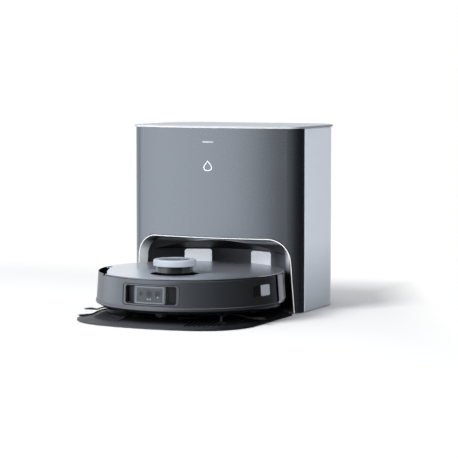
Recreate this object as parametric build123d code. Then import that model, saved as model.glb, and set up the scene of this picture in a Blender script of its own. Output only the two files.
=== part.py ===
import math
import os

from build123d import *

# Robot: heights count from the plane its wheels roll on
ROBOT_DIAMETER = 362.0
COVER_TOP = 77.0
COVER_THICKNESS = 2.0
RIM_GAP = 0.8
CHASSIS_BOTTOM = 12.0
WALL = 3.0
LIP_TOP = 24.5
LIP_HEIGHT = 6.5
LIP_PROUD = 1.2
WALL_LEAN = 3.4
BUMPER_TRAVEL = 5.0
BUMPER_SEAM = BUMPER_TRAVEL + 5.0
BUMPER_PLAY = 1.0

# Scanner turret
TURRET_FORWARD = 71.0
TURRET_RISE = 27.0
CAP_DIAMETER = 80.0
CAP_HEIGHT = 12.6
TURRET_HOLE = 90.0
NECK_DIAMETER = 68.0
BUTTON_DIAMETER = 60.0
BUTTON_TRAVEL = 1.0
BUTTON_DISH = 1.2

# Cover edge cut straight at the left side as a finger grip
GRIP_ANGLE = 67.5
GRIP_DEPTH = 17.6
GRIP_BOW = 480.0
GRIP_FRONT = 80.0
GRIP_BACK = 57.0
GRIP_CORNER = 4.0

# Front camera group and side sensor in the bumper
CAMERA_WIDTH = 116.0
CAMERA_LOW = 27.0
CAMERA_HIGH = 67.0
CAMERA_FRAME = 6.0
CAMERA_RAIL = 3.0
CAMERA_PANEL = 64.0
GLASS_EDGE = 6.5
CAMERA_CORNER = 6.0
LENS_PITCH = 17.0
SENSOR_ANGLE = 73.0
SENSOR_WINDOW = 20.0
SENSOR_LENS = 26.0
SENSOR_LOW = 41.0
SENSOR_HIGH = 61.0

# Running gear
WHEEL_RADIUS = 32.0
WHEEL_WIDTH = 22.0
WHEEL_TRACK = 240.0
TYRE_DEPTH = 8.0
ARM_LENGTH = 46.0
ARM_WIDTH = 14.0
ARM_RADIUS = 11.0
CASTER_RADIUS = 14.0
CASTER_WIDTH = 14.0
CASTER_INSET = 46.0
CASTER_TRAIL = 8.0
CASTER_WELL = 25.0

# Cleaning gear
BRUSH_RADIUS = 20.0
BRUSH_LENGTH = 160.0
BRUSH_FORWARD = 15.0
BRUSH_BLADES = 6
SIDE_BRUSH_INSET = 29.5
SIDE_BRUSH_ANGLE = 47.7
SIDE_BRUSH_REACH = 80.0
SIDE_BRUSH_ARM = 56.0
SIDE_BRUSH_ARMS = 4
TUFT_ROWS = 8
TUFT_LAYERS = 6
MOP_X = 66.0
MOP_BACK = 88.0
MOP_RADIUS = 64.0
MOP_PAD = 4.9
BIN_DEPTH = 46.0

# Station
STATION_WIDTH = 358.0
STATION_HEIGHT = 354.0
BACK_ROOM = 130.0
FRONT_CORNER = 33.0
BOW_RADIUS = 530.0
REAR_CORNER = 72.0
LID_THICKNESS = 4.0
LID_OVERHANG = 3.0
HINGE_SETBACK = 26.0
FOOT_HEIGHT = 1.2

# Arch over the parking bay
ARCH_SIDE = 8.0
ARCH_CLEARANCE = 14.2
ARCH_HEIGHT = 145.0
ARCH_CORNER = 45.0
ARCH_SPLAY = 3.7
TRIM_EDGE = 3.0
TRIM_FUNNEL = 6.5
TRIM_PROUD = 1.5
TRIM_BACK = 5.0
BAY_CLEARANCE = 6.0
BAY_WALL = 3.0
BAY_STEP = 112.0
BAY_ROOF_SLOPE = 19.0
REFLECTOR_ANGLE = 21.7
REFLECTOR_WIDTH = 54.0
REFLECTOR_HEIGHT = 45.0

# Tray the robot parks on
TRAY_SIDE = 2.0
TRAY_TOP = 10.0
TRAY_LIP = 33.0
TRAY_LIP_HEIGHT = 3.0
TRAY_BOW = 430.0
TRAY_CORNER = 105.0
TRAY_BORDER = 8.0
RAMP_EDGE = 7.0
RIB_PITCH = 7.5
RIB_COUNT = 11
RIB_LENGTH = 48.0

# Room above the bay for the water tanks
DECK_CLEARANCE = 6.5
TANK_HEADROOM = 32.0

# Fits
FIT = 0.05
GAP = 0.4
ROLL_GAP = 0.3
SEAM = 0.3

# Values that follow from the sizes above
ROBOT_R = ROBOT_DIAMETER / 2
HALF = STATION_WIDTH / 2
ARCH_WIDTH = STATION_WIDTH - 2 * ARCH_SIDE
ARCH_EDGE = ARCH_WIDTH / 2 - TRIM_EDGE
BOW_SAG = BOW_RADIUS - math.sqrt(BOW_RADIUS**2 - ARCH_EDGE**2)
ROBOT_STANDOFF = math.sqrt((ROBOT_R + ARCH_CLEARANCE) ** 2 - ARCH_EDGE**2) - BOW_SAG
DEPTH = TRAY_LIP + ROBOT_DIAMETER + BAY_CLEARANCE + BAY_WALL + BACK_ROOM
Y_TRAY = -DEPTH / 2
Y_BACK = DEPTH / 2
Y_ROBOT = Y_TRAY + TRAY_LIP + ROBOT_R
Y_APEX = Y_ROBOT + ROBOT_STANDOFF
CORNER_X = HALF - FRONT_CORNER
BOW_HALF = math.degrees(math.asin(CORNER_X / (BOW_RADIUS - FRONT_CORNER)))
Y_BOW = Y_APEX + BOW_RADIUS
Y_SEAM = Y_BOW - (BOW_RADIUS - FRONT_CORNER) * math.cos(math.radians(BOW_HALF))
Y_HINGE = Y_BACK - HINGE_SETBACK
LID_UNDER = STATION_HEIGHT
SHELL_TOP = STATION_HEIGHT - SEAM
BAY_R = ROBOT_R + BAY_CLEARANCE
FLOOR_TOP = CHASSIS_BOTTOM + WALL
DECK_TOP = COVER_TOP - COVER_THICKNESS - 1.4
DECK_UNDER = DECK_TOP - WALL
RIM_TOP = COVER_TOP - COVER_THICKNESS - RIM_GAP
SKIRT_BOTTOM = CHASSIS_BOTTOM + 2
WALL_R_LOW = ROBOT_R - LIP_PROUD
WALL_R_TOP = WALL_R_LOW - WALL_LEAN
FRONT_R = WALL_R_TOP - WALL - BUMPER_TRAVEL - BUMPER_PLAY - 4
REAR_R = WALL_R_TOP - WALL - 4
COVER_R = WALL_R_TOP - 0.8
WHEEL_X = WHEEL_TRACK / 2
CASTER_FORWARD = ROBOT_R - CASTER_INSET
SIDE_BRUSH_RING = ROBOT_R - SIDE_BRUSH_INSET
SIDE_BRUSH_X = SIDE_BRUSH_RING * math.sin(math.radians(SIDE_BRUSH_ANGLE))
SIDE_BRUSH_FORWARD = SIDE_BRUSH_RING * math.cos(math.radians(SIDE_BRUSH_ANGLE))
DECK_HEIGHT = ARCH_HEIGHT + DECK_CLEARANCE
RAMP_R = ROBOT_R + RAMP_EDGE
PLATEAU_R = CASTER_FORWARD + CASTER_TRAIL + 3
ROBOT_PLACE = Pos(0, Y_ROBOT, TRAY_TOP + ROLL_GAP)

# Inner sizes
GUIDE_X = CAMERA_WIDTH / 2 + 12
GUIDE_LOW = (CAMERA_LOW + CAMERA_HIGH) / 2
SENSOR_WIDTH = SENSOR_WINDOW + SENSOR_LENS + 3 * FIT
SENSOR_CORNER = 3.0
BEZEL_DEPTH = 1.0
BEZEL_THICKNESS = 6.0
HOUSING_DEPTH = 4.5
PANEL_DEPTH = 2.0
GLASS_SEAT = 4.0
GLASS_WIDTH = CAMERA_PANEL - 2 * GLASS_EDGE
GLASS_LOW = CAMERA_LOW + 8
GLASS_HIGH = CAMERA_HIGH - 8
LENS_HEIGHT = (CAMERA_LOW + CAMERA_HIGH) / 2
LENS_BACK = FRONT_R + 2
LENSES = ((-LENS_PITCH, 3.0), (0.0, 6.0), (LENS_PITCH, 5.0))
BRUSH_AXIS = BRUSH_RADIUS + 0.6
CHAMBER_X = BRUSH_LENGTH / 2 + 4
CHAMBER_Y = BRUSH_RADIUS + 4
CHAMBER_TOP = BRUSH_AXIS + BRUSH_RADIUS + 4
JOURNAL = 5.0
PIVOT_Y = ARM_LENGTH
PIVOT_Z = WHEEL_RADIUS + 2
TRUNNION = 4.0
ARM_OUT = WHEEL_X - WHEEL_WIDTH / 2 - 2
ARM_IN = ARM_OUT - ARM_WIDTH
LUG = 6.0
CASTER_TOP = 2 * CASTER_RADIUS + 12
STEM = 4.0
STEM_TOP = CASTER_TOP + 8
MOP_SHAFT = 6.0
BRUSH_SHAFT = 3.0
BOARD_Z = CHAMBER_TOP + 8
BOARD_X = 75.0
BOARD_FRONT = -125.0
CHIP = 14.0
CHIPS = ((-0.8, 0.2), (-0.4, 0.68), (0.3, 0.6), (0.6, 0.22))
BOARD_BACK = -(BRUSH_FORWARD + CHAMBER_Y + 6)
POST_INSET = 7.0
WHEEL_WELL = (-WHEEL_WIDTH / 2 - 4, WHEEL_WIDTH / 2 + 4, -WHEEL_RADIUS - 5, WHEEL_RADIUS + 3)
MOUTH_X = 30.0
MOUTH_LOW = 26.0
MOUTH_HIGH = 42.0
CUP = 30.0
ROTOR_TOP = COVER_TOP + TURRET_RISE - CAP_HEIGHT - 3
FLARE_TOP = COVER_TOP + 3
CAP_UNDER = COVER_TOP + TURRET_RISE - CAP_HEIGHT
CUP_FLOOR = DECK_UNDER - 9
CONTACT_ANGLE = 13.0
CONTACT_WIDTH = 16.0
CONTACT_LOW = 30.0
CONTACT_HIGH = 48.0
VENT_ROWS = 5
VENT_LOW = 34.0
VENT_PITCH = 6.0
VENT_ANGLE = 42.0
VENT_WIDTH = 46.0
BIN_X = 80.0
BIN_FRONT = -BRUSH_FORWARD + CHAMBER_Y + 2 + GAP
BIN_TOP = DECK_TOP - 4
BIN_WALL = 2.0
BUTTON_SEAT = COVER_TOP + TURRET_RISE - 7
FILTER_X = 24.0
FILTER_LOW = FAN_LOW = 40.0
FILTER_HIGH = BIN_TOP - 6
FAN_R = 28.0
FAN_TOP = DECK_UNDER - 2
FAN_Y = BIN_FRONT + BIN_DEPTH + FAN_R + 2
FILTER_PLEATS = 12
HUB_LOW = 6.5
HUB_HIGH = CHASSIS_BOTTOM - 0.5
HUB_R = 11.0
HUB_SHAFT = 12.0
BRUSH_MOTOR = 30.0
ARM_TIP = 0.9
ARM_DEPTH = 2.9
ARM_HALF = 2.4
STRAND = 0.26
STRAND_STEP_Y = 0.56
STRAND_STEP_Z = 0.46
FAN_OUT = 4.0
SIDE_BRUSH_TURN = -67.0
BOSS_R = COVER_R - 24
BOSS_ANGLES = (23.0, 120.0, 180.0, 240.0, 337.0)
MOP_LOW = 0.6
AXLE = 4.0
TREAD_COUNT = 20
LEG_IN = CASTER_WIDTH / 2 + 0.6
LIGHT_X = 11.5
LIGHT_HEIGHT = 2.4
LIGHT_Z = STATION_HEIGHT - 28
INLET_X = -HALF + 99
INLET_WIDTH = 30.0
INLET_HEIGHT = 22.0
INLET_Z = 24.0
INLET_HOLE = (INLET_X - INLET_WIDTH / 2, INLET_X + INLET_WIDTH / 2)
DUCT_X = 18.0
DUCT_LOW = 22.0
DUCT_HIGH = 48.0
DOCK_X = WALL_R_TOP * math.sin(math.radians(CONTACT_ANGLE))
DOCK_WIDTH = 10.0
DOCK_LOW = TRAY_TOP + CONTACT_LOW + 2
DOCK_HIGH = TRAY_TOP + CONTACT_HIGH - 2
BASE_TOP = FOOT_HEIGHT + 4
TANK_FLOOR = DECK_HEIGHT + WALL
TANK_TOP = STATION_HEIGHT - TANK_HEADROOM
TANK_BACK = Y_HINGE - 14
TANK_MIDDLE = (Y_SEAM + TANK_BACK) / 2
TANK_INSET = 8.0
TANK_SPLIT = 4.0
DRYER_Y = Y_BACK - 66
DRYER_R = 44.0
DRYER_TOP = BASE_TOP + 52
BARREL = LID_THICKNESS
BARREL_X = HALF - 39
PIN = 2.0
RIB_INNER = 70.0
RIB_RISE = 2.4
SUPPLY_X = -HALF + 49
SUPPLY_WIDTH = 68.0
PUMPS = (HALF - 99, HALF - 57)


def box(x0, x1, y0, y1, z0, z1):
    return Pos(x0, y0, z0) * Box(x1 - x0, y1 - y0, z1 - z0, align=(Align.MIN,) * 3)


def post(radius, z0, z1, x=0.0, y=0.0):
    return Pos(x, y, z0) * Cylinder(radius, z1 - z0, align=(Align.CENTER, Align.CENTER, Align.MIN))


def rod_x(radius, x0, x1, y, z):
    return Pos(x0, y, z) * Rot(0, 90, 0) * post(radius, 0, x1 - x0)


def rod_y(radius, y0, y1, x, z):
    return Pos(x, y0, z) * Rot(-90, 0, 0) * post(radius, 0, y1 - y0)


def turned(*points):
    return revolve(Plane.XZ * make_face(Polyline(*points, close=True)), Axis.Z)


def across(sketch, x0, x1):
    # A sketch drawn in depth and height, pulled along the width
    plane = Plane((x0, 0, 0), x_dir=(0, 1, 0), z_dir=(1, 0, 0))
    return extrude(plane * sketch, x1 - x0)


def inward(sketch, y0, y1):
    # A sketch drawn in width and height, pulled along the depth
    plane = Plane((0, y1, 0), x_dir=(1, 0, 0), z_dir=(0, -1, 0))
    return extrude(plane * sketch, y1 - y0)


def rounded(width, low, high, corner):
    return Pos(0, (low + high) / 2) * RectangleRounded(width, high - low, corner)


def both(shape):
    return shape + mirror(shape, Plane.YZ)


def pair(shape):
    return Compound(children=[shape, mirror(shape, Plane.YZ)])


def wall_r(z):
    # Outer radius of the leaning robot wall at a height
    share = (z - LIP_TOP) / (RIM_TOP - LIP_TOP)
    return WALL_R_LOW - share * WALL_LEAN


def wall_plate(angle, width, low, high, corner, depth, thickness, shift=0.0):
    # A plate bent to the robot wall, its outer face sunk by depth, set at an angle from the front
    outer = [(wall_r(low) - depth, low), (wall_r(high) - depth, high)]
    inner = [(wall_r(high) - depth - thickness, high), (wall_r(low) - depth - thickness, low)]
    stencil = Pos(shift, 0, 0) * inward(rounded(width, low, high, corner), -ROBOT_R - WALL, 0)
    return Rot(0, 0, angle) * (turned(*outer, *inner) & stencil)


def wall_hole(angle, width, low, high, corner):
    stencil = inward(rounded(width, low, high, corner), -ROBOT_R - WALL, -ROBOT_R / 2)
    return Rot(0, 0, angle) * stencil


def plan(inset):
    # Outline of the station seen from above, moved inward by inset
    bow = BOW_RADIUS - inset
    front = FRONT_CORNER - inset
    rear = REAR_CORNER - inset
    rear_x = HALF - REAR_CORNER
    rear_y = Y_BACK - REAR_CORNER
    side = HALF - inset
    turn = 90 - BOW_HALF
    edges = [
        CenterArc((0, Y_BOW), bow, 270 - BOW_HALF, 2 * BOW_HALF),
        CenterArc((CORNER_X, Y_SEAM), front, 270 + BOW_HALF, turn),
        Line((side, Y_SEAM), (side, rear_y)),
        CenterArc((rear_x, rear_y), rear, 0, 90),
        Line((rear_x, Y_BACK - inset), (-rear_x, Y_BACK - inset)),
        CenterArc((-rear_x, rear_y), rear, 90, 90),
        Line((-side, rear_y), (-side, Y_SEAM)),
        CenterArc((-CORNER_X, Y_SEAM), front, 180, turn),
    ]
    return make_face(edges)


def upright(inset, z0, z1):
    return Pos(0, 0, z0) * extrude(plan(inset), z1 - z0)


def arch(inset):
    # Outline of the arch seen from the front, moved inward by inset
    lean = math.tan(math.radians(ARCH_SPLAY))
    top = ARCH_HEIGHT - inset
    foot = -TRAY_TOP
    base = ARCH_WIDTH / 2 - inset / math.cos(math.radians(ARCH_SPLAY))
    low = base - foot * lean
    high = base - top * lean
    face = make_face(Polyline((-low, foot), (-high, top), (high, top), (low, foot), close=True))
    return fillet(face.vertices().group_by(Axis.Y)[-1], ARCH_CORNER - inset)


def behind(y):
    return box(-STATION_WIDTH, STATION_WIDTH, y, DEPTH, -DEPTH, DEPTH)


def before(y):
    return box(-STATION_WIDTH, STATION_WIDTH, -DEPTH, y, -DEPTH, DEPTH)


# Robot shell pieces
def guide_bar(y0, y1, play):
    # Bar that carries the bumper in a slot of the chassis wall
    half = 5 + play
    return box(GUIDE_X - half, GUIDE_X + half, y0, y1, GUIDE_LOW - play, GUIDE_LOW + 4 + play)


def grip_side(clear):
    # Space of the finger grip, drawn in by clear: a bowed edge between two blunt ends
    edge = COVER_R - GRIP_DEPTH + clear
    slot = box(0, ROBOT_DIAMETER, clear - GRIP_BACK, GRIP_FRONT - clear, 0, 2 * COVER_TOP)
    slot = slot - post(GRIP_BOW, 0, 2 * COVER_TOP, edge - GRIP_BOW, 0)
    corners = slot.edges().filter_by(Axis.Z).sort_by(Axis.X)[:2]
    return Rot(0, 0, 270 - GRIP_ANGLE) * fillet(corners, GRIP_CORNER)


def grip_wall(clear):
    # Rim beside the finger grip, raised level with the cover
    inner = WALL_R_TOP - WALL + GAP
    outer = WALL_R_TOP - 2 * FIT
    low = RIM_TOP - WALL
    edge = COVER_TOP - RIM_GAP
    rim = turned((inner, low), (outer, low), (outer, edge), (outer - RIM_GAP, COVER_TOP), (inner, COVER_TOP))
    return rim & grip_side(clear)


def bumper():
    lip = LIP_TOP - LIP_HEIGHT
    ring = turned(
        (WALL_R_LOW - 9, SKIRT_BOTTOM),
        (WALL_R_LOW - 7, SKIRT_BOTTOM),
        (ROBOT_R - 1, lip),
        (ROBOT_R, lip + 1.2),
        (ROBOT_R, LIP_TOP - 0.8),
        (ROBOT_R - 0.8, LIP_TOP),
        (WALL_R_LOW, LIP_TOP),
        (WALL_R_TOP, RIM_TOP - 2),
        (WALL_R_TOP - 1, RIM_TOP),
        (WALL_R_TOP - WALL, RIM_TOP),
        (WALL_R_LOW - WALL, LIP_TOP + 3),
        (WALL_R_LOW - WALL, lip + 1.5),
        (WALL_R_LOW - 9, SKIRT_BOTTOM + WALL),
    )
    half = (ring + grip_wall(BUMPER_TRAVEL + GAP)) & before(-BUMPER_SEAM / 2)
    reach = math.sqrt((WALL_R_TOP - WALL / 2) ** 2 - GUIDE_X**2)
    half = half + both(guide_bar(-reach, -reach + 34, 0))
    half = half - wall_hole(0, CAMERA_WIDTH, CAMERA_LOW, CAMERA_HIGH, CAMERA_CORNER)
    return half - wall_hole(SENSOR_ANGLE, SENSOR_WIDTH, SENSOR_LOW, SENSOR_HIGH, SENSOR_CORNER)


def bumper_bezel():
    frame = wall_plate(
        0,
        CAMERA_WIDTH - 2 * FIT,
        CAMERA_LOW + FIT,
        CAMERA_HIGH - FIT,
        CAMERA_CORNER - FIT,
        BEZEL_DEPTH,
        BEZEL_THICKNESS,
    )
    low = CAMERA_LOW + CAMERA_RAIL
    high = CAMERA_HIGH - CAMERA_RAIL
    return frame - wall_hole(0, CAMERA_WIDTH - 2 * CAMERA_FRAME, low, high, CAMERA_CORNER - 1)


def sensor_piece(width, shift, depth):
    low = SENSOR_LOW + FIT
    high = SENSOR_HIGH - FIT
    return wall_plate(SENSOR_ANGLE, width, low, high, SENSOR_CORNER, depth, WALL, shift)


def camera_housing():
    gap = 2 * GAP
    width = CAMERA_WIDTH - 2 * CAMERA_FRAME - 2 * gap
    low = CAMERA_LOW + CAMERA_RAIL + gap
    high = CAMERA_HIGH - CAMERA_RAIL - gap
    block = wall_plate(0, width, low, high, CAMERA_CORNER - 1 - gap, HOUSING_DEPTH, 4 * WALL)
    block = block - post(FRONT_R + FIT, 0, COVER_TOP)
    panel = wall_plate(0, CAMERA_PANEL, low, high, 3, PANEL_DEPTH, HOUSING_DEPTH)
    block = block + panel
    slot = (width - CAMERA_PANEL) / 2 - 1.2
    floor = wall_r(low) - HOUSING_DEPTH - 6
    for side in (-1, 1):
        middle = side * (CAMERA_PANEL + slot) / 2
        pocket = Pos(middle, 0, 0) * wall_hole(0, slot, low + 2, high - 2, 2)
        block = block - (pocket - post(floor, 0, COVER_TOP))
    glass = wall_hole(0, GLASS_WIDTH + 2 * FIT, GLASS_LOW - FIT, GLASS_HIGH + FIT, 2 + FIT)
    block = block - (glass - post(wall_r(low) - PANEL_DEPTH - GLASS_SEAT, 0, COVER_TOP))
    for place, radius in LENSES:
        block = block - rod_y(radius + FIT, -ROBOT_R, -LENS_BACK, place, LENS_HEIGHT)
    return block


def camera_glass():
    return wall_plate(0, GLASS_WIDTH, GLASS_LOW, GLASS_HIGH, 2, PANEL_DEPTH - 0.3, 1.4)


def camera_lenses():
    behind_glass = wall_r(GLASS_HIGH) - PANEL_DEPTH - 2.4
    rods = []
    for place, radius in LENSES:
        front = math.sqrt(behind_glass**2 - (abs(place) + radius) ** 2)
        rod = rod_y(radius, -front, -LENS_BACK, place, LENS_HEIGHT)
        rods.append(rod - Pos(place, -front - 2.6 * radius, LENS_HEIGHT) * Sphere(2.8 * radius))
    return Compound(children=rods)


# Robot chassis with every well and bearing that its moving pieces need


def chassis():
    step = BUMPER_SEAM / 2
    front = post(FRONT_R, CHASSIS_BOTTOM, DECK_UNDER) & before(step)
    front = front - (post(FRONT_R - WALL, FLOOR_TOP, DECK_TOP))
    rear = post(REAR_R, CHASSIS_BOTTOM, DECK_UNDER) & behind(step)
    rear = rear - post(REAR_R - WALL, FLOOR_TOP, DECK_TOP)
    body = front + rear
    for side in (-1, 1):
        x = side * WHEEL_X
        body = body - (Pos(x, 0, 0) * box(*WHEEL_WELL, 0, FLOOR_TOP + 1))
        lugs = [
            Pos(side * where, PIVOT_Y, 0) * box(-LUG / 2, LUG / 2, -8, 8, CHASSIS_BOTTOM, PIVOT_Z + 8)
            for where in (ARM_IN - LUG / 2 - GAP, ARM_OUT + LUG / 2 + GAP)
        ]
        bore = rod_x(TRUNNION + FIT, -WHEEL_WIDTH * 2, WHEEL_WIDTH * 2, PIVOT_Y, PIVOT_Z)
        body = body + lugs - Pos(x, 0, 0) * bore
        body = body - post(MOP_SHAFT + 3, 0, FLOOR_TOP + 1, side * MOP_X, MOP_BACK)
        body = body - post(BRUSH_SHAFT + 3, 0, FLOOR_TOP + 1, side * SIDE_BRUSH_X, -SIDE_BRUSH_FORWARD)
        for y in (BOARD_FRONT + POST_INSET, BOARD_BACK - POST_INSET):
            body = body + post(3.5, FLOOR_TOP - 1, BOARD_Z, side * (BOARD_X - POST_INSET), y)
    well = post(CASTER_WELL + WALL, CHASSIS_BOTTOM, CASTER_TOP + WALL, 0, -CASTER_FORWARD)
    well = well + post(STEM + WALL, CASTER_TOP, STEM_TOP, 0, -CASTER_FORWARD)
    body = body + (well & post(FRONT_R, 0, DECK_TOP))
    body = body - post(CASTER_WELL, 0, CASTER_TOP, 0, -CASTER_FORWARD)
    body = body - post(STEM + FIT, 0, DECK_TOP, 0, -CASTER_FORWARD)
    middle = Pos(0, -BRUSH_FORWARD, 0)
    shell_x = CHAMBER_X + WALL
    shell_y = CHAMBER_Y + 2
    body = body + middle * box(-shell_x, shell_x, -shell_y, shell_y, CHASSIS_BOTTOM, CHAMBER_TOP + 2)
    body = body - middle * box(-CHAMBER_X, CHAMBER_X, -CHAMBER_Y, CHAMBER_Y, 0, CHAMBER_TOP)
    body = body - rod_x(JOURNAL + FIT, -shell_x - 1, shell_x + 1, -BRUSH_FORWARD, BRUSH_AXIS)
    mouth = middle * box(-MOUTH_X, MOUTH_X, 0, shell_y + 1, MOUTH_LOW, MOUTH_HIGH)
    return body - mouth - both(guide_bar(-ROBOT_R, -FRONT_R / 2, GAP))


def upper_shell():
    step = BUMPER_SEAM / 2
    front = post(WALL_R_TOP - WALL - BUMPER_TRAVEL - BUMPER_PLAY, DECK_UNDER, DECK_TOP) & before(step)
    rear = post(WALL_R_TOP - 1, DECK_UNDER, DECK_TOP) & behind(step)
    skirt = turned(
        (WALL_R_LOW - WALL - 1, LIP_TOP - 3),
        (WALL_R_LOW - 2, LIP_TOP - 3),
        (WALL_R_LOW, LIP_TOP + 2),
        (WALL_R_TOP, RIM_TOP - 2),
        (WALL_R_TOP - 1, RIM_TOP),
        (WALL_R_TOP - WALL, RIM_TOP),
        (WALL_R_LOW - WALL - 1, LIP_TOP + 3),
    )
    body = front + rear + ((skirt + grip_wall(GAP)) & behind(step))
    for angle in (180 - CONTACT_ANGLE, 180 + CONTACT_ANGLE):
        body = body - wall_hole(angle, CONTACT_WIDTH + 2 * FIT, CONTACT_LOW - FIT, CONTACT_HIGH + FIT, 2)
    for row in range(VENT_ROWS):
        low = VENT_LOW + row * VENT_PITCH
        slot = wall_hole(180 - VENT_ANGLE, VENT_WIDTH, low, low + VENT_PITCH / 2, VENT_PITCH / 4 - FIT)
        body = body - both(slot)
    body = body - box(-BIN_X, BIN_X, BIN_FRONT, BIN_FRONT + BIN_DEPTH, DECK_UNDER - 1, DECK_TOP + 1)
    centre = Pos(0, -TURRET_FORWARD, 0)
    neck = NECK_DIAMETER / 2
    flare = turned(
        (CUP, DECK_UNDER),
        (neck + 7, DECK_UNDER),
        (neck + 7, DECK_TOP + 0.5),
        (neck + 3, DECK_TOP + 2),
        (neck + 1, DECK_TOP + 4),
        (neck + 0.5, FLARE_TOP),
        (CUP, FLARE_TOP),
    )
    cup = post(CUP + WALL, CUP_FLOOR, DECK_TOP) - post(CUP, CUP_FLOOR + WALL, DECK_TOP)
    cup = cup + post(STEM + WALL, CUP_FLOOR, CUP_FLOOR + 6) - post(STEM + FIT, 0, DECK_TOP)
    return body - centre * post(CUP, DECK_UNDER - 1, DECK_TOP + 1) + centre * (flare + cup)


def charge_contacts():
    plates = [
        wall_plate(angle, CONTACT_WIDTH, CONTACT_LOW, CONTACT_HIGH, 2 - FIT, 0.6, WALL - 1)
        for angle in (180 - CONTACT_ANGLE, 180 + CONTACT_ANGLE)
    ]
    return Compound(children=plates)


def top_cover():
    low = COVER_TOP - COVER_THICKNESS
    disc = chamfer(post(COVER_R, low, COVER_TOP).edges().group_by(Axis.Z)[-1], 0.7)
    hole = post(TURRET_HOLE / 2, 0, 2 * COVER_TOP, 0, -TURRET_FORWARD)
    disc = disc - grip_side(0) - hole
    bevel = post(TURRET_HOLE / 2 + 1, COVER_TOP - 1, COVER_TOP + 1, 0, -TURRET_FORWARD)
    disc = disc - chamfer(bevel.edges().group_by(Axis.Z)[0], 0.99)
    for angle in BOSS_ANGLES:
        disc = disc + Rot(0, 0, angle) * post(6, DECK_TOP + FIT, low, 0, -BOSS_R)
    return disc


# Scanner turret
def turret_window():
    neck = NECK_DIAMETER / 2
    tube = post(neck, FLARE_TOP, CAP_UNDER) - post(neck - 2.5, FLARE_TOP, CAP_UNDER)
    return Pos(0, -TURRET_FORWARD, 0) * tube


def turret_cap():
    radius = CAP_DIAMETER / 2
    top = COVER_TOP + TURRET_RISE
    cap = post(radius, CAP_UNDER, top)
    cap = fillet(cap.edges().group_by(Axis.Z)[-1], 3)
    cap = fillet(cap.edges().group_by(Axis.Z)[0], 2)
    cap = cap - post(BUTTON_DIAMETER / 2 + SEAM, BUTTON_SEAT, top + 1)
    cap = cap - post(STEM + SEAM, 0, top)
    return Pos(0, -TURRET_FORWARD, 0) * cap


def power_button():
    radius = BUTTON_DIAMETER / 2
    top = COVER_TOP + TURRET_RISE - 0.6
    bowl = (radius**2 + BUTTON_DISH**2) / (2 * BUTTON_DISH)
    disc = post(radius, BUTTON_SEAT + BUTTON_TRAVEL + SEAM, top)
    disc = disc - Pos(0, 0, top - BUTTON_DISH + bowl) * Sphere(bowl)
    stem = post(STEM, CAP_UNDER + BUTTON_TRAVEL + SEAM, BUTTON_SEAT + BUTTON_TRAVEL + 1)
    return Pos(0, -TURRET_FORWARD, 0) * (disc + stem)


def lidar_rotor():
    radius = NECK_DIAMETER / 2 - 7
    low = CUP_FLOOR + 7
    rotor = post(radius, low, ROTOR_TOP) + post(STEM, CUP_FLOOR + 1, low + 1)
    window = box(-radius, radius, -radius, -radius + 4, FLARE_TOP + 1, ROTOR_TOP - 2)
    return Pos(0, -TURRET_FORWARD, 0) * (rotor - window)


# Robot insides
def dust_bin():
    bin_x = BIN_X - GAP
    front = BIN_FRONT + GAP
    back = BIN_FRONT + BIN_DEPTH - GAP
    body = box(-bin_x, bin_x, front, back, FLOOR_TOP, BIN_TOP)
    room = box(
        -bin_x + BIN_WALL,
        bin_x - BIN_WALL,
        front + BIN_WALL,
        back - BIN_WALL,
        FLOOR_TOP + BIN_WALL,
        BIN_TOP + 1,
    )
    body = body - room - box(-MOUTH_X, MOUTH_X, front - 1, front + 3, MOUTH_LOW, MOUTH_HIGH)
    return body - box(-FILTER_X, FILTER_X, back - 3, back + 1, FILTER_LOW, FILTER_HIGH)


def dust_filter():
    back = BIN_FRONT + BIN_DEPTH - GAP - BIN_WALL
    edge = FILTER_X + 3
    frame = box(-edge, edge, back - 8, back - FIT, FILTER_LOW - 3, FILTER_HIGH + 3)
    for k in range(FILTER_PLEATS):
        x = -FILTER_X + (k + 0.5) * 2 * FILTER_X / FILTER_PLEATS
        frame = frame - box(x - 1.2, x + 1.2, back - 9, back - 3, FILTER_LOW, FILTER_HIGH)
    return frame


def dust_bin_lid():
    edge = BIN_X - GAP
    front = BIN_FRONT + GAP
    back = BIN_FRONT + BIN_DEPTH - GAP
    plate = box(-edge, edge, front, back, BIN_TOP, BIN_TOP + 2)
    handle = box(-24, 24, (front + back) / 2 - 3, (front + back) / 2 + 3, BIN_TOP + 1, DECK_TOP)
    return plate + fillet(handle.edges().filter_by(Axis.Z), 2.5)


def fan_housing():
    body = post(FAN_R, FAN_LOW - 3, FAN_TOP) - post(FAN_R - 2.5, FAN_LOW + 8, FAN_TOP - 2)
    body = body - post(8, FAN_TOP - 3, FAN_TOP + 1)
    body = Pos(0, FAN_Y, 0) * (body - post(BRUSH_SHAFT + FIT, FAN_LOW, FAN_TOP))
    return body - box(-12, 12, FAN_Y - FAN_R, FAN_Y - FAN_R / 2, FAN_LOW + 9, FAN_TOP - 4)


def fan_impeller():
    low = FAN_LOW + 9
    high = FAN_TOP - 4
    radius = FAN_R - 5
    disc = post(radius, low, low + 2) + post(7, low, high) + post(BRUSH_SHAFT, FAN_LOW + 1, low + 1)
    blade = Pos(6, 0, 0) * box(0, radius - 8, -0.8, 0.8, low + 1, high)
    blades = [Rot(0, 0, k * 360 / 9) * blade for k in range(9)]
    return Pos(0, FAN_Y, 0) * (disc + blades)


def battery_pack():
    front = FAN_Y + FAN_R + 2
    back = math.sqrt((REAR_R - WALL - 1) ** 2 - 46**2)
    pack = box(-46, 46, front, back, FLOOR_TOP, DECK_UNDER - 6)
    return fillet(pack.edges().filter_by(Axis.Z), 4)


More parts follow.
